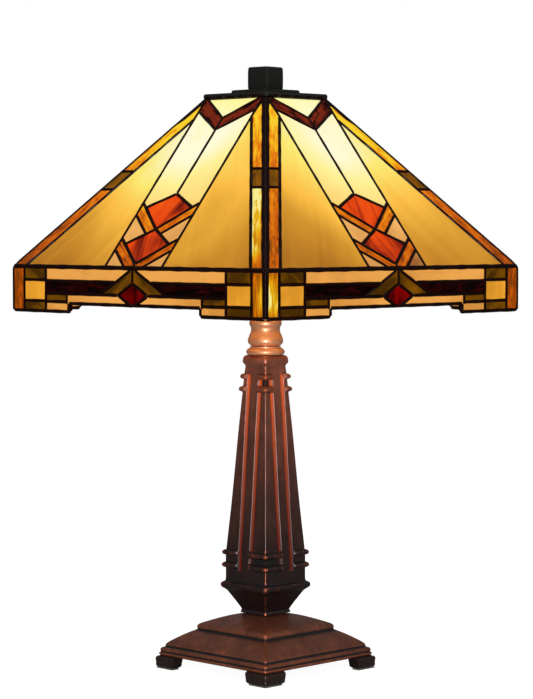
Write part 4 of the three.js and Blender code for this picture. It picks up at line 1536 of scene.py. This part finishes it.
@dataclass
class Column:
    """The tapered square column, grooved along its faces, with beads across its corner piers."""

    low: float
    high: float
    groove_u: float = 7.8
    groove_width: float = 4.4
    groove_depth: float = 2.0
    bead_out: float = 2.9
    bead_half: float = 2.8
    beads: tuple[float, ...] = (104.3, 117.0, 280.6, 293.2)
    long_bead_from: float = 5.0
    short_bead_from: float = 10.2
    groove_run: tuple[float, float] = (100.0, 295.4)
    groove_parts: tuple[tuple[float, float], ...] = ((107.4, 115.4), (120.4, 278.4), (283.8, 291.4))
    pocket_runs: tuple[tuple[float, float], ...] = ((107.4, 114.0), (283.8, 290.2))
    pocket_depth: float = 1.1
    lip_rise: float = 0.22
    worn_lines: tuple[float, ...] = (304.6, 312.4)
    ring_step: float = 1.3
    fine_step: float = 0.4
    fine_runs: tuple[tuple[float, float], ...] = ((98.6, 122.4), (270.4, 297.6))

    def rows(self, profile: np.ndarray) -> np.ndarray:
        """Heights of the rings: one every step, every bend of the profile, and closer where beads lie.

        Args:
            profile: the half width and height of the plain taper.

        Returns:
            The heights, rising.
        """
        even = np.arange(self.low, self.high, self.ring_step)
        fine = [np.arange(low, high, self.fine_step) for low, high in self.fine_runs]
        rows = np.unique(np.round(np.concatenate([even, *fine, profile[:, 1]]), 2))
        keep = np.concatenate([[True], np.diff(rows) > 0.16])
        return rows[keep]

    def relief(self, u: np.ndarray, z: np.ndarray) -> tuple[np.ndarray, np.ndarray, np.ndarray]:
        """How far a face stands out of the plain taper.

        A groove takes its depth away inside its width and between its ends, with soft edges. A bead adds the
        height of a half ellipse over its half height, from its inner end to the corner. Towards the corner
        with the long beads a groove stops at each bead, and the face between two beads is sunk.

        Args:
            u: distance from the face's middle, positive towards the corner with the long beads.
            z: height.

        Returns:
            The distance out of the face, a value that is 1 at the bottom of a groove, and one that is 1
            between two beads.
        """
        inside = smoothstep((self.groove_width / 2 + 0.35 - np.abs(np.abs(u) - self.groove_u)) / 1.5)

        def between(low: float, high: float) -> np.ndarray:
            """1 between two heights, with soft ends."""
            return smoothstep((z - low) / 0.9) * smoothstep((high - z) / 0.9)

        plain = between(*self.groove_run)
        broken = sum(between(*part) for part in self.groove_parts)
        groove = inside * np.where(u > 0, broken, plain)
        lip = np.abs(np.abs(np.abs(u) - self.groove_u) - self.groove_width / 2 - 0.7)
        raised = np.where(u > 0, broken, plain) * smoothstep(1.0 - lip / 0.7)
        out = self.lip_rise * raised - self.groove_depth * groove
        start = np.where(u > 0, self.long_bead_from, self.short_bead_from)
        reach = smoothstep((np.abs(u) - start) / 1.6)
        beside = smoothstep((u - self.long_bead_from) / 0.9)
        pocket = beside * sum(between(*run) for run in self.pocket_runs)
        out = out - self.pocket_depth * pocket * (1.0 - groove)
        # painted shade: in the lower pocket most of the groove's rust colour is taken away
        groove = groove * (1.0 - 0.7 * pocket * (z < 200.0))
        for centre in self.beads:
            swell = np.sqrt(np.clip(1.0 - ((z - centre) / self.bead_half) ** 2, 0.0, 1.0))
            out = out + self.bead_out * swell * reach
        return out, groove, pocket

    def build(self) -> None:
        """Lofts the column from its four faces and corners."""
        profile = soften(diagonal([
            (25.6, self.low), (25.4, 58.2), (24.3, 59.4), (25.6, 61.2), (28.6, 65.4), (35.2, 73.6),
            (39.4, 78.6), (42.4, 80.4), (45.4, 82.0), (46.4, 84.2), (45.4, 86.6), (41.8, 87.9),
            (40.3, 89.4), (40.3, 100.0), (40.4, 114.0), (39.5, 123.0), (34.2, 169.0), (27.8, 237.0),
            (23.8, 274.0), (22.4, 288.0), (21.3, 298.0), (20.8, 303.2), (21.6, 304.8), (23.9, 306.6),
            (24.2, 310.2), (23.4, 312.8), (20.6, self.high),
        ]), 2, 0.2)
        rows = self.rows(profile)
        half = np.interp(rows, profile[:, 1], profile[:, 0])
        corner = np.interp(rows, [58, 76, 84, 90, 298, 305, 311], [1.6, 2.0, 3.0, 1.3, 1.2, 2.6, 3.8])
        near = self.groove_u + self.groove_width / 2 + 1.4
        inner = np.array([0.0, 2.6, 3.9, 4.4, 4.8, 5.2, 5.6, 5.9, 6.2, 6.6, 7.2, 7.8, 8.4, 9.0, 9.4, 9.7,
                          10.0, 10.4, near])
        parts = np.array([0.12, 0.28, 0.48, 0.7, 0.88, 1.0])
        outer = near + parts[None, :] * (half - corner - near)[:, None]
        positive = np.concatenate([np.broadcast_to(inner, (len(rows), len(inner))), outer], axis=1)
        across = np.concatenate([-positive[:, :0:-1], positive], axis=1)
        arc = 5
        quarters, grooves, pockets = [], [], []
        for index in range(4):
            towards = 1 if index % 2 == 0 else -1
            plan = square_quarter(half, corner, across, arc)
            level = np.broadcast_to(rows[:, None], plan.shape[:2])
            along = np.concatenate([across, np.repeat(across[:, -1:], arc, axis=1)], axis=1)
            out, groove, pocket = self.relief(along * towards, level)
            share = np.concatenate([np.zeros(across.shape[1]), np.arange(1, arc + 1) / (arc + 1)])
            next_out = self.relief(-across[:, -1:] * -towards, rows[:, None])[0]
            turn = share * math.pi / 2
            mitre = 1.0 + (math.sqrt(2) - 1.0) * np.sin(2.0 * turn)
            mixed = (out * (1 - share) + next_out * share) * mitre
            plan = plan + mixed[..., None] * np.stack([np.sin(turn), -np.cos(turn)], axis=-1)
            quarters.append(plan @ quarter_matrix(index)[:2, :2].T)
            grooves.append(groove)
            pockets.append(pocket)
        rings = lifted(np.concatenate(quarters, axis=1), rows[:, None])
        groove = np.concatenate(grooves, axis=1)
        beside = np.maximum.reduce([np.roll(groove, step, axis=1) for step in range(-3, 4)])
        height = rings[..., 2]
        plain = smoothstep((height - 121.0) / 8.0) * smoothstep((280.0 - height) / 8.0)
        edge = convexity(rings, 1.0) * (1.0 - 0.85 * beside) * (1.0 - 0.6 * plain)
        for line in self.worn_lines:
            edge += 0.55 * np.exp(-((height - line) / 1.1) ** 2)
        # painted shade: the pockets between the near beads are pushed towards the dark colour
        edge = np.clip(edge - 0.45 * np.concatenate(pockets, axis=1) * (1.0 - groove), -1.0, 1.0)
        shell = loft(rings, edge=edge, groove=groove)
        add_piece("column_shaft", shell, COLUMN_BRONZE, "stand", ["column_casting"], sharp=60.0)


# ---- neck, spine and fasteners ------------------------------------------------------------------------


@dataclass
class Spine:
    """What stands on the lamp's axis: neck, threaded pipe, riser, washers and nuts."""

    column_high: float
    pipe_radius: float = 5.0
    bore: float = 5.5
    cup_z: float = 323.9
    nut_radius: float = 9.0
    thread_pitch: float = 1.4
    thread_depth: float = 0.2

    def turned(self, name: str, profile: Outline, finish: Finish, node: str, rounds: int = 2,
               share: float = 0.2, body: str = "stand", segments: int = 72) -> None:
        """Turns one closed profile round the bore and adds it."""
        add_piece(name, lathe(soften(profile, rounds, share, wrap=True), segments, closed=True), finish,
                  body, [node])

    def nut(self, name: str, node: str, radius: float) -> None:
        """A hexagonal nut, its corners eased by a turned chamfer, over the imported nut's height.

        Args:
            name: the piece's name.
            node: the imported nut.
            radius: from the axis to its corners.
        """
        low, high = (corner.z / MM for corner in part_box(node))
        angle = np.linspace(0.0, math.tau, 48, endpoint=False)
        flat = radius * math.cos(math.pi / 6) / np.cos((angle % (math.pi / 3)) - math.pi / 6)
        limits = np.array([radius * 0.93, radius, radius, radius * 0.93])
        outer = np.minimum(flat[None, :], limits[:, None])
        inner = np.full((2, 48), self.bore)
        levels = np.array([low, low + 0.9, high - 0.9, high, high, low])
        rings = circles(np.concatenate([outer, inner]), levels)
        add_piece(name, loft(rings, closed=True), STEEL, "stand", [node], sharp=25.0)

    def washer(self, name: str, node: str, body: str) -> None:
        """A flat washer with eased edges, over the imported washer's size.

        Args:
            name: the piece's name.
            node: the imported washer.
            body: the body that it rides on.
        """
        low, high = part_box(node)
        radius, bottom, top = high.x / MM, low.z / MM, high.z / MM
        profile = [(self.bore, bottom), (radius, bottom), (radius, top), (self.bore, top)]
        self.turned(name, profile, STEEL, node, 2, 0.06, body)

    def rod(self, name: str, node: str, threads: Sequence[tuple[float, float]]) -> None:
        """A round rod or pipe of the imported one's length, threaded between the given heights.

        Args:
            name: the piece's name.
            node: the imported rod.
            threads: the heights where each thread starts and ends.
        """
        low, high = (corner.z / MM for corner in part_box(node))
        levels = [np.array([low, low + 0.5, high - 0.5, high])]
        levels += [np.arange(start, end, 0.25) for start, end in threads]
        level = np.unique(np.round(np.concatenate(levels), 3))
        radius = np.full(len(level), self.pipe_radius - self.thread_depth)
        radius[[0, -1]] -= 0.5
        threaded = np.zeros(len(level), bool)
        for start, end in threads:
            threaded |= (level > start) & (level < end)
        angle = np.linspace(0.0, math.tau, 36, endpoint=False)
        turned = math.tau * level[:, None] / self.thread_pitch
        wave = self.thread_depth * np.sin(angle[None, :] - turned) * threaded[:, None]
        add_piece(name, loft(circles(radius[:, None] + wave, level)), STEEL, "stand", [node])

    def build(self) -> None:
        """Builds the axis from the base's nut to the top of the riser."""
        low = self.column_high + 0.3
        self.turned("neck_collar_turned", [
            (self.bore, low), (17.2, low), (18.4, low + 0.6), (19.2, low + 2.2), (19.2, low + 4.2),
            (17.6, low + 6.0), (16.0, low + 6.7), (15.3, low + 7.3), (15.4, low + 8.9),
            (self.bore, low + 8.9),
        ], COPPER, "neck_collar", 3, 0.22, segments=96)
        cup = self.cup_z
        self.turned("neck_cup_spun", [
            (self.bore, cup), (14.8, cup), (15.3, cup + 0.4), (17.0, cup + 2.0), (17.9, cup + 4.6),
            (17.0, cup + 8.4), (15.0, cup + 12.6), (14.3, cup + 15.4), (14.6, cup + 18.4),
            (16.1, cup + 20.6), (16.3, cup + 23.4), (15.0, cup + 25.6), (14.6, cup + 27.4),
            (14.2, cup + 33.1), (9.0, cup + 38.5), (self.bore, cup + 38.5), (self.bore, cup + 37.0),
            (8.4, cup + 37.0), (12.8, cup + 32.5), (13.0, cup + 17.1), (15.2, cup + 5.7),
            (13.6, cup + 1.6), (self.bore, cup + 1.6),
        ], COPPER, "neck_cup", 3, 0.22, segments=96)
        self.nut("base_nut_hex", "base_nut", self.nut_radius)
        self.nut("seat_nut_hex", "seat_nut", self.nut_radius)
        self.washer("base_washer_flat", "base_washer", "stand")
        self.washer("seat_washer_flat", "seat_washer", "shade_seat")
        self.rod("threaded_pipe_long", "threaded_pipe", [(28.0, 50.0)])
        self.rod("riser_rod_long", "riser_rod", [(552.0, 588.0)])


# ---- lighting cluster ---------------------------------------------------------------------------------


@dataclass
class Cluster:
    """The cluster body and its two tilted sockets, each with a knob and a bulb."""

    low: float = 366.0
    offset: float = 22.0
    socket_z: float = 392.0
    tilt: float = 25.0
    bulb_radius: float = 25.0
    bulb_at: float = 97.0
    knob_at: float = 20.0
    power: float = 2.4

    def axis(self, sign: int) -> tuple[np.ndarray, np.ndarray]:
        """The turn and the origin of one socket; its own Z runs up the socket.

        Args:
            sign: 1 for the right socket, -1 for the left one.

        Returns:
            The matrix and the origin.
        """
        angle = math.radians(self.tilt)
        across = np.array([sign, sign, 0.0]) / math.sqrt(2)
        up = across * math.sin(angle) + np.array([0.0, 0.0, math.cos(angle)])
        side = np.cross([0.0, 0.0, 1.0], across)
        third = np.cross(side, up)
        return np.stack([-third, -side, up], axis=1), across * self.offset + (0.0, 0.0, self.socket_z)

    def bulb_profile(self) -> np.ndarray:
        """The envelope's outline: neck, shoulder and round end, and back inside the glass.

        Returns:
            Radius and height of each ring.
        """
        angle = np.linspace(-0.75, math.pi / 2 - 0.03, 26)
        radius, centre = self.bulb_radius, self.bulb_at
        ball = np.stack([radius * np.cos(angle), centre + radius * np.sin(angle)], axis=1)
        neck = soften([(12.2, 55.3), (12.6, 59.0), (13.2, 64.0), (15.4, 73.0), tuple(ball[0])], 3)
        return np.vstack([[0.2, 55.3], neck, ball[1:], [0.2, centre + radius]])

    def build_socket(self, name: str, sign: int) -> None:
        """Builds one socket with its knob and bulb.

        Args:
            name: the socket's side.
            sign: 1 for the right socket, -1 for the left one.
        """
        turn, origin = self.axis(sign)

        def place(label: str, shell: Shell, finish: Finish, body: str, node: str) -> None:
            """Adds a piece that is given in the coordinates of the socket."""
            add_piece(f"{label}_{name}", shell.moved(turn, origin), finish, body, [f"{node}_{name}"])

        nipple = np.stack([np.full(40, 4.8), np.linspace(-4.7, 5.0, 40)], axis=1)
        place("nipple_threaded", lathe(nipple, 32, thread=(1.4, 0.2, -4.5, 4.8)), BRASS, "stand",
              "socket_nipple")
        cap = soften([(5.3, 0), (9, 0), (12.6, 2.4), (15.6, 6.4), (16.5, 11.2), (16.5, 13.2), (15.3, 13.2),
                      (15.3, 12), (14, 7), (8.4, 1.4), (5.3, 1.4)], 2, 0.2, wrap=True)
        place("cap_spun", lathe(cap, 64, closed=True), BRASS, "stand", "socket_cap")
        rims = [(15.3, 13.5), (16.5, 13.5), (16.5, 15.5), (16.1, 16.2), (16.1, 18.0), (16.1, 48.0),
                (16.5, 49.2), (16.5, 50.4), (16.1, 51.4), (16.1, 52.6), (16.5, 53.4), (16.3, 54), (15.3, 54)]
        place("shell_spun", lathe(soften(rims, 2, 0.2, wrap=True), 64, closed=True), BRASS, "stand",
              "socket_shell")
        core = soften([(0.2, 8.6), (12.8, 8.6), (15, 13), (15, 52), (14.4, 53), (13.5, 53), (13.5, 31),
                       (0.2, 31)], 2, 0.08)
        place("core_glazed", lathe(core, 64), PORCELAIN, "stand", "socket_core")
        self.build_knob(name, turn, origin)
        rise = np.arange(33.0, 54.6, 0.35)
        screw = np.vstack([[(0.2, 28.9), (4.4, 28.9), (4.9, 30.4), (9.6, 31.6), (12.2, 33.0)],
                           np.stack([np.full(len(rise), 12.4), rise], axis=1), [(12.2, 55), (0.2, 55)]])
        place("screw_shell", lathe(screw, 48, thread=(3.6, 0.5, 34.0, 53.0)), BRASS, f"bulb_{name}",
              "bulb_screw")
        place("bulb_envelope", lathe(self.bulb_profile(), 72), BULB, f"bulb_{name}", "bulb_glass")
        self.add_light(f"lamp_{name}", turn[:, 2] * self.bulb_at + origin)

    def build_knob(self, name: str, turn: np.ndarray, origin: np.ndarray) -> None:
        """Builds one switch knob: a shaft and a paddle with fluted sides.

        Args:
            name: the socket's side.
            turn: the socket's matrix.
            origin: the socket's origin.
        """
        profile = soften([(0.2, 15.4), (2.2, 15.4), (2.2, 19.8), (4.8, 20.4), (5.5, 22), (5.2, 30.6),
                          (4.2, 31.9), (0.2, 32)], 3, 0.18)
        angle = np.linspace(0.0, math.tau, 96, endpoint=False)
        inside = smoothstep((profile[:, 1] - 20.6) / 1.0) * smoothstep((31.4 - profile[:, 1]) / 0.8)
        radii = profile[:, :1] - 0.28 * inside[:, None] * (0.5 + 0.5 * np.cos(18 * angle))[None, :]
        sideways = np.array([[1.0, 0.0, 0.0], [0.0, 0.0, 1.0], [0.0, -1.0, 0.0]])
        shell = loft(circles(radii, profile[:, 1])).moved(sideways, (0.0, 0.0, self.knob_at))
        shell = shell.moved(turn, origin)
        add_piece(f"knob_fluted_{name}", shell, PLASTIC, f"knob_{name}", [f"switch_knob_{name}"])

    def add_light(self, name: str, centre: np.ndarray) -> None:
        """Puts a warm light in the middle of one bulb.

        Args:
            name: the light's name.
            centre: the middle of the bulb, in millimetres.
        """
        lamp = bpy.data.lights.new(name, "POINT")
        lamp.energy = self.power
        lamp.color = srgb(255, 206, 140)[:3]
        lamp.shadow_soft_size = (self.bulb_radius + 2.0) * MM
        holder = bpy.data.objects.new(name, lamp)
        holder.location = [float(value) for value in centre * MM]
        bpy.context.scene.collection.objects.link(holder)

    def build(self) -> None:
        """Builds the cluster body and both sockets."""
        low = self.low
        body = soften([(0.2, low), (11.6, low), (14.2, low + 1.6), (15, low + 4), (15, low + 18),
                       (14.2, low + 20.6), (10, low + 25), (0.2, low + 25)], 3, 0.18)
        bosses = []
        for sign in (1, -1):
            turn, origin = self.axis(sign)
            boss = soften([(0.2, -18), (7.5, -18), (7.5, -6), (6.9, -5), (0.2, -5)], 2, 0.1)
            bosses.append(lathe(boss, 40).moved(turn, origin))
        add_piece("cluster_spun", join([lathe(body, 72), *bosses]), BRASS, "stand", ["cluster_body"])
        for name, sign in (("right", 1), ("left", -1)):
            self.build_socket(name, sign)


# ---- studio --------------------------------------------------------------------------------------------


@dataclass
class Studio:
    """A pale floor, soft lights and the camera."""

    azimuth: float = 45.0
    distance: float = 2403.5
    height: float = 444.9
    pitch: float = 2.98
    lens: float = 124.3
    aside: float = 1.0
    floor_half: float = 30.0  # metres
    floor_glow: float = 0.93  # seen by the camera only
    sky: float = 0.22  # as the lamp sees it, where the camera sees white
    target: tuple[float, float, float] = (0.0, 0.0, 0.3)  # metres, where every light points
    panel_distance: float = 2.2  # metres
    # name, azimuth, elevation, width and height in metres, power in watts
    panels: tuple[tuple[str, float, float, float, float, float], ...] = (
        ("front", 46.0, -2.0, 0.4, 0.7, 52.0), ("key", 5.0, 35.0, 1.2, 1.2, 12.0),
        ("rim", 110.0, 25.0, 0.8, 0.8, 8.0), ("top", 45.0, 80.0, 1.6, 1.6, 16.0),
    )

    def build_floor(self) -> None:
        """A wide plain floor with a faint mottle, which the camera sees evenly bright."""
        size = self.floor_half
        mesh = bpy.data.meshes.new("floor")
        corners = [(-size, -size, 0), (size, -size, 0), (size, size, 0), (-size, size, 0)]
        mesh.from_pydata(corners, [], [(0, 1, 2, 3)])
        material, graph, shader = new_material("pale_floor")
        place = graph.place()
        colour = graph.mix(graph.noise(place, 3.0, 3.0), srgb(150, 150, 150), srgb(156, 155, 154))
        feed(graph, shader, Base_Color=colour, Roughness=0.8, Specular_IOR_Level=0.2)
        seen = graph.add("LightPath").outputs["Is Camera Ray"]
        feed(graph, shader, Emission_Color=(1.0, 1.0, 1.0, 1.0))
        feed(graph, shader, Emission_Strength=graph.math("MULTIPLY", seen, self.floor_glow))
        mesh.materials.append(material)
        floor = bpy.data.objects.new("floor", mesh)
        bpy.context.scene.collection.objects.link(floor)

    def build_world(self) -> None:
        """A white sky for the camera, and a softer one for light and reflections."""
        world = bpy.data.worlds.new("studio")
        world.use_nodes = True
        world.node_tree.nodes.clear()
        graph = Graph(world.node_tree)
        seen = graph.add("Background", {"Color": (1.0, 1.0, 1.0, 1.0), "Strength": 1.0})
        soft = graph.add("Background", {"Color": (1.0, 1.0, 1.0, 1.0), "Strength": self.sky})
        ray = graph.add("LightPath").outputs["Is Camera Ray"]
        mixed = graph.add("MixShader", {0: ray, 1: soft.outputs[0], 2: seen.outputs[0]})
        graph.add("OutputWorld", {"Surface": mixed.outputs[0]})
        bpy.context.scene.world = world

    def add_panel(self, name: str, azimuth: float, elevation: float, wide: float, high: float,
                  energy: float) -> None:
        """A soft light, so many metres wide and high, that faces the middle of the lamp.

        Args:
            name: the light's name.
            azimuth: its direction from the lamp, in degrees.
            elevation: its direction above the floor.
            wide: its width.
            high: its height.
            energy: its power in watts.
        """
        light = bpy.data.lights.new(name, "AREA")
        light.shape = "RECTANGLE"
        light.size = wide
        light.size_y = high
        light.energy = energy
        turn, lift = math.radians(azimuth), math.radians(elevation)
        back = Vector((math.sin(turn) * math.cos(lift), -math.cos(turn) * math.cos(lift), math.sin(lift)))
        panel = bpy.data.objects.new(name, light)
        panel.location = Vector(self.target) + back * self.panel_distance
        panel.rotation_euler = (-back).to_track_quat("-Z", "Y").to_euler()
        bpy.context.scene.collection.objects.link(panel)

    def build_camera(self) -> None:
        """A long lens, just above the middle of the shade, tipped slightly down."""
        camera = bpy.data.objects.new("camera", bpy.data.cameras.new("camera"))
        camera.data.lens = self.lens
        turn = math.radians(self.azimuth)
        sideways = Vector((math.cos(turn), math.sin(turn), 0.0)) * self.aside * MM
        back = Vector((math.sin(turn), -math.cos(turn), 0.0)) * self.distance * MM
        camera.location = back + sideways + Vector((0.0, 0.0, self.height * MM))
        camera.rotation_euler = (math.radians(90.0 - self.pitch), 0.0, turn)
        bpy.context.scene.collection.objects.link(camera)
        bpy.context.scene.camera = camera
        bpy.context.scene.view_settings.view_transform = "Standard"

    def build(self) -> None:
        """Sets up the whole studio."""
        self.build_camera()
        self.build_floor()
        self.build_world()
        for panel in self.panels:
            self.add_panel(*panel)


def main() -> None:
    """Builds the lamp, piece by piece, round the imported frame."""
    logging.basicConfig(level=logging.INFO, format="%(name)s: %(message)s", stream=sys.stdout)

    def edge(node: str, end: int, axis: str) -> float:
        """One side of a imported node's box, in millimetres."""
        return getattr(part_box(node)[end], axis) / MM

    Studio().build()
    eave_low, eave_high = edge("eave_came_front", 0, "z"), edge("eave_came_front", 1, "z")
    shade = Shade(
        half=-edge("apron_glass_front", 0, "y"),
        eave_z=(eave_low + eave_high) / 2,
        top_z=edge("top_cap", 0, "z") - 0.5,
        apron_height=(eave_low + eave_high) / 2 - edge("apron_glass_front", 0, "z"),
    )
    shade.build()
    TopFittings(
        cap_low=edge("top_cap", 0, "z"),
        cap_high=edge("top_cap", 1, "z"),
        cap_half=edge("top_cap", 1, "x"),
        plate_low=edge("cap_plate", 0, "z"),
        plate_high=edge("cap_plate", 1, "z"),
        plate_half=edge("cap_plate", 1, "x") - 0.5,
        finial_low=edge("finial", 0, "z"),
        finial_high=edge("finial", 1, "z"),
    ).build()
    Base(top_z=edge("base_casting", 1, "z"), foot_half=edge("base_casting", 1, "x")).build()
    Column(low=edge("column_casting", 0, "z"), high=edge("column_casting", 1, "z")).build()
    Spine(column_high=edge("column_casting", 1, "z")).build()
    Cluster().build()
    dress("cord_bushing", PLASTIC)


if __name__ == "__main__":
    main()
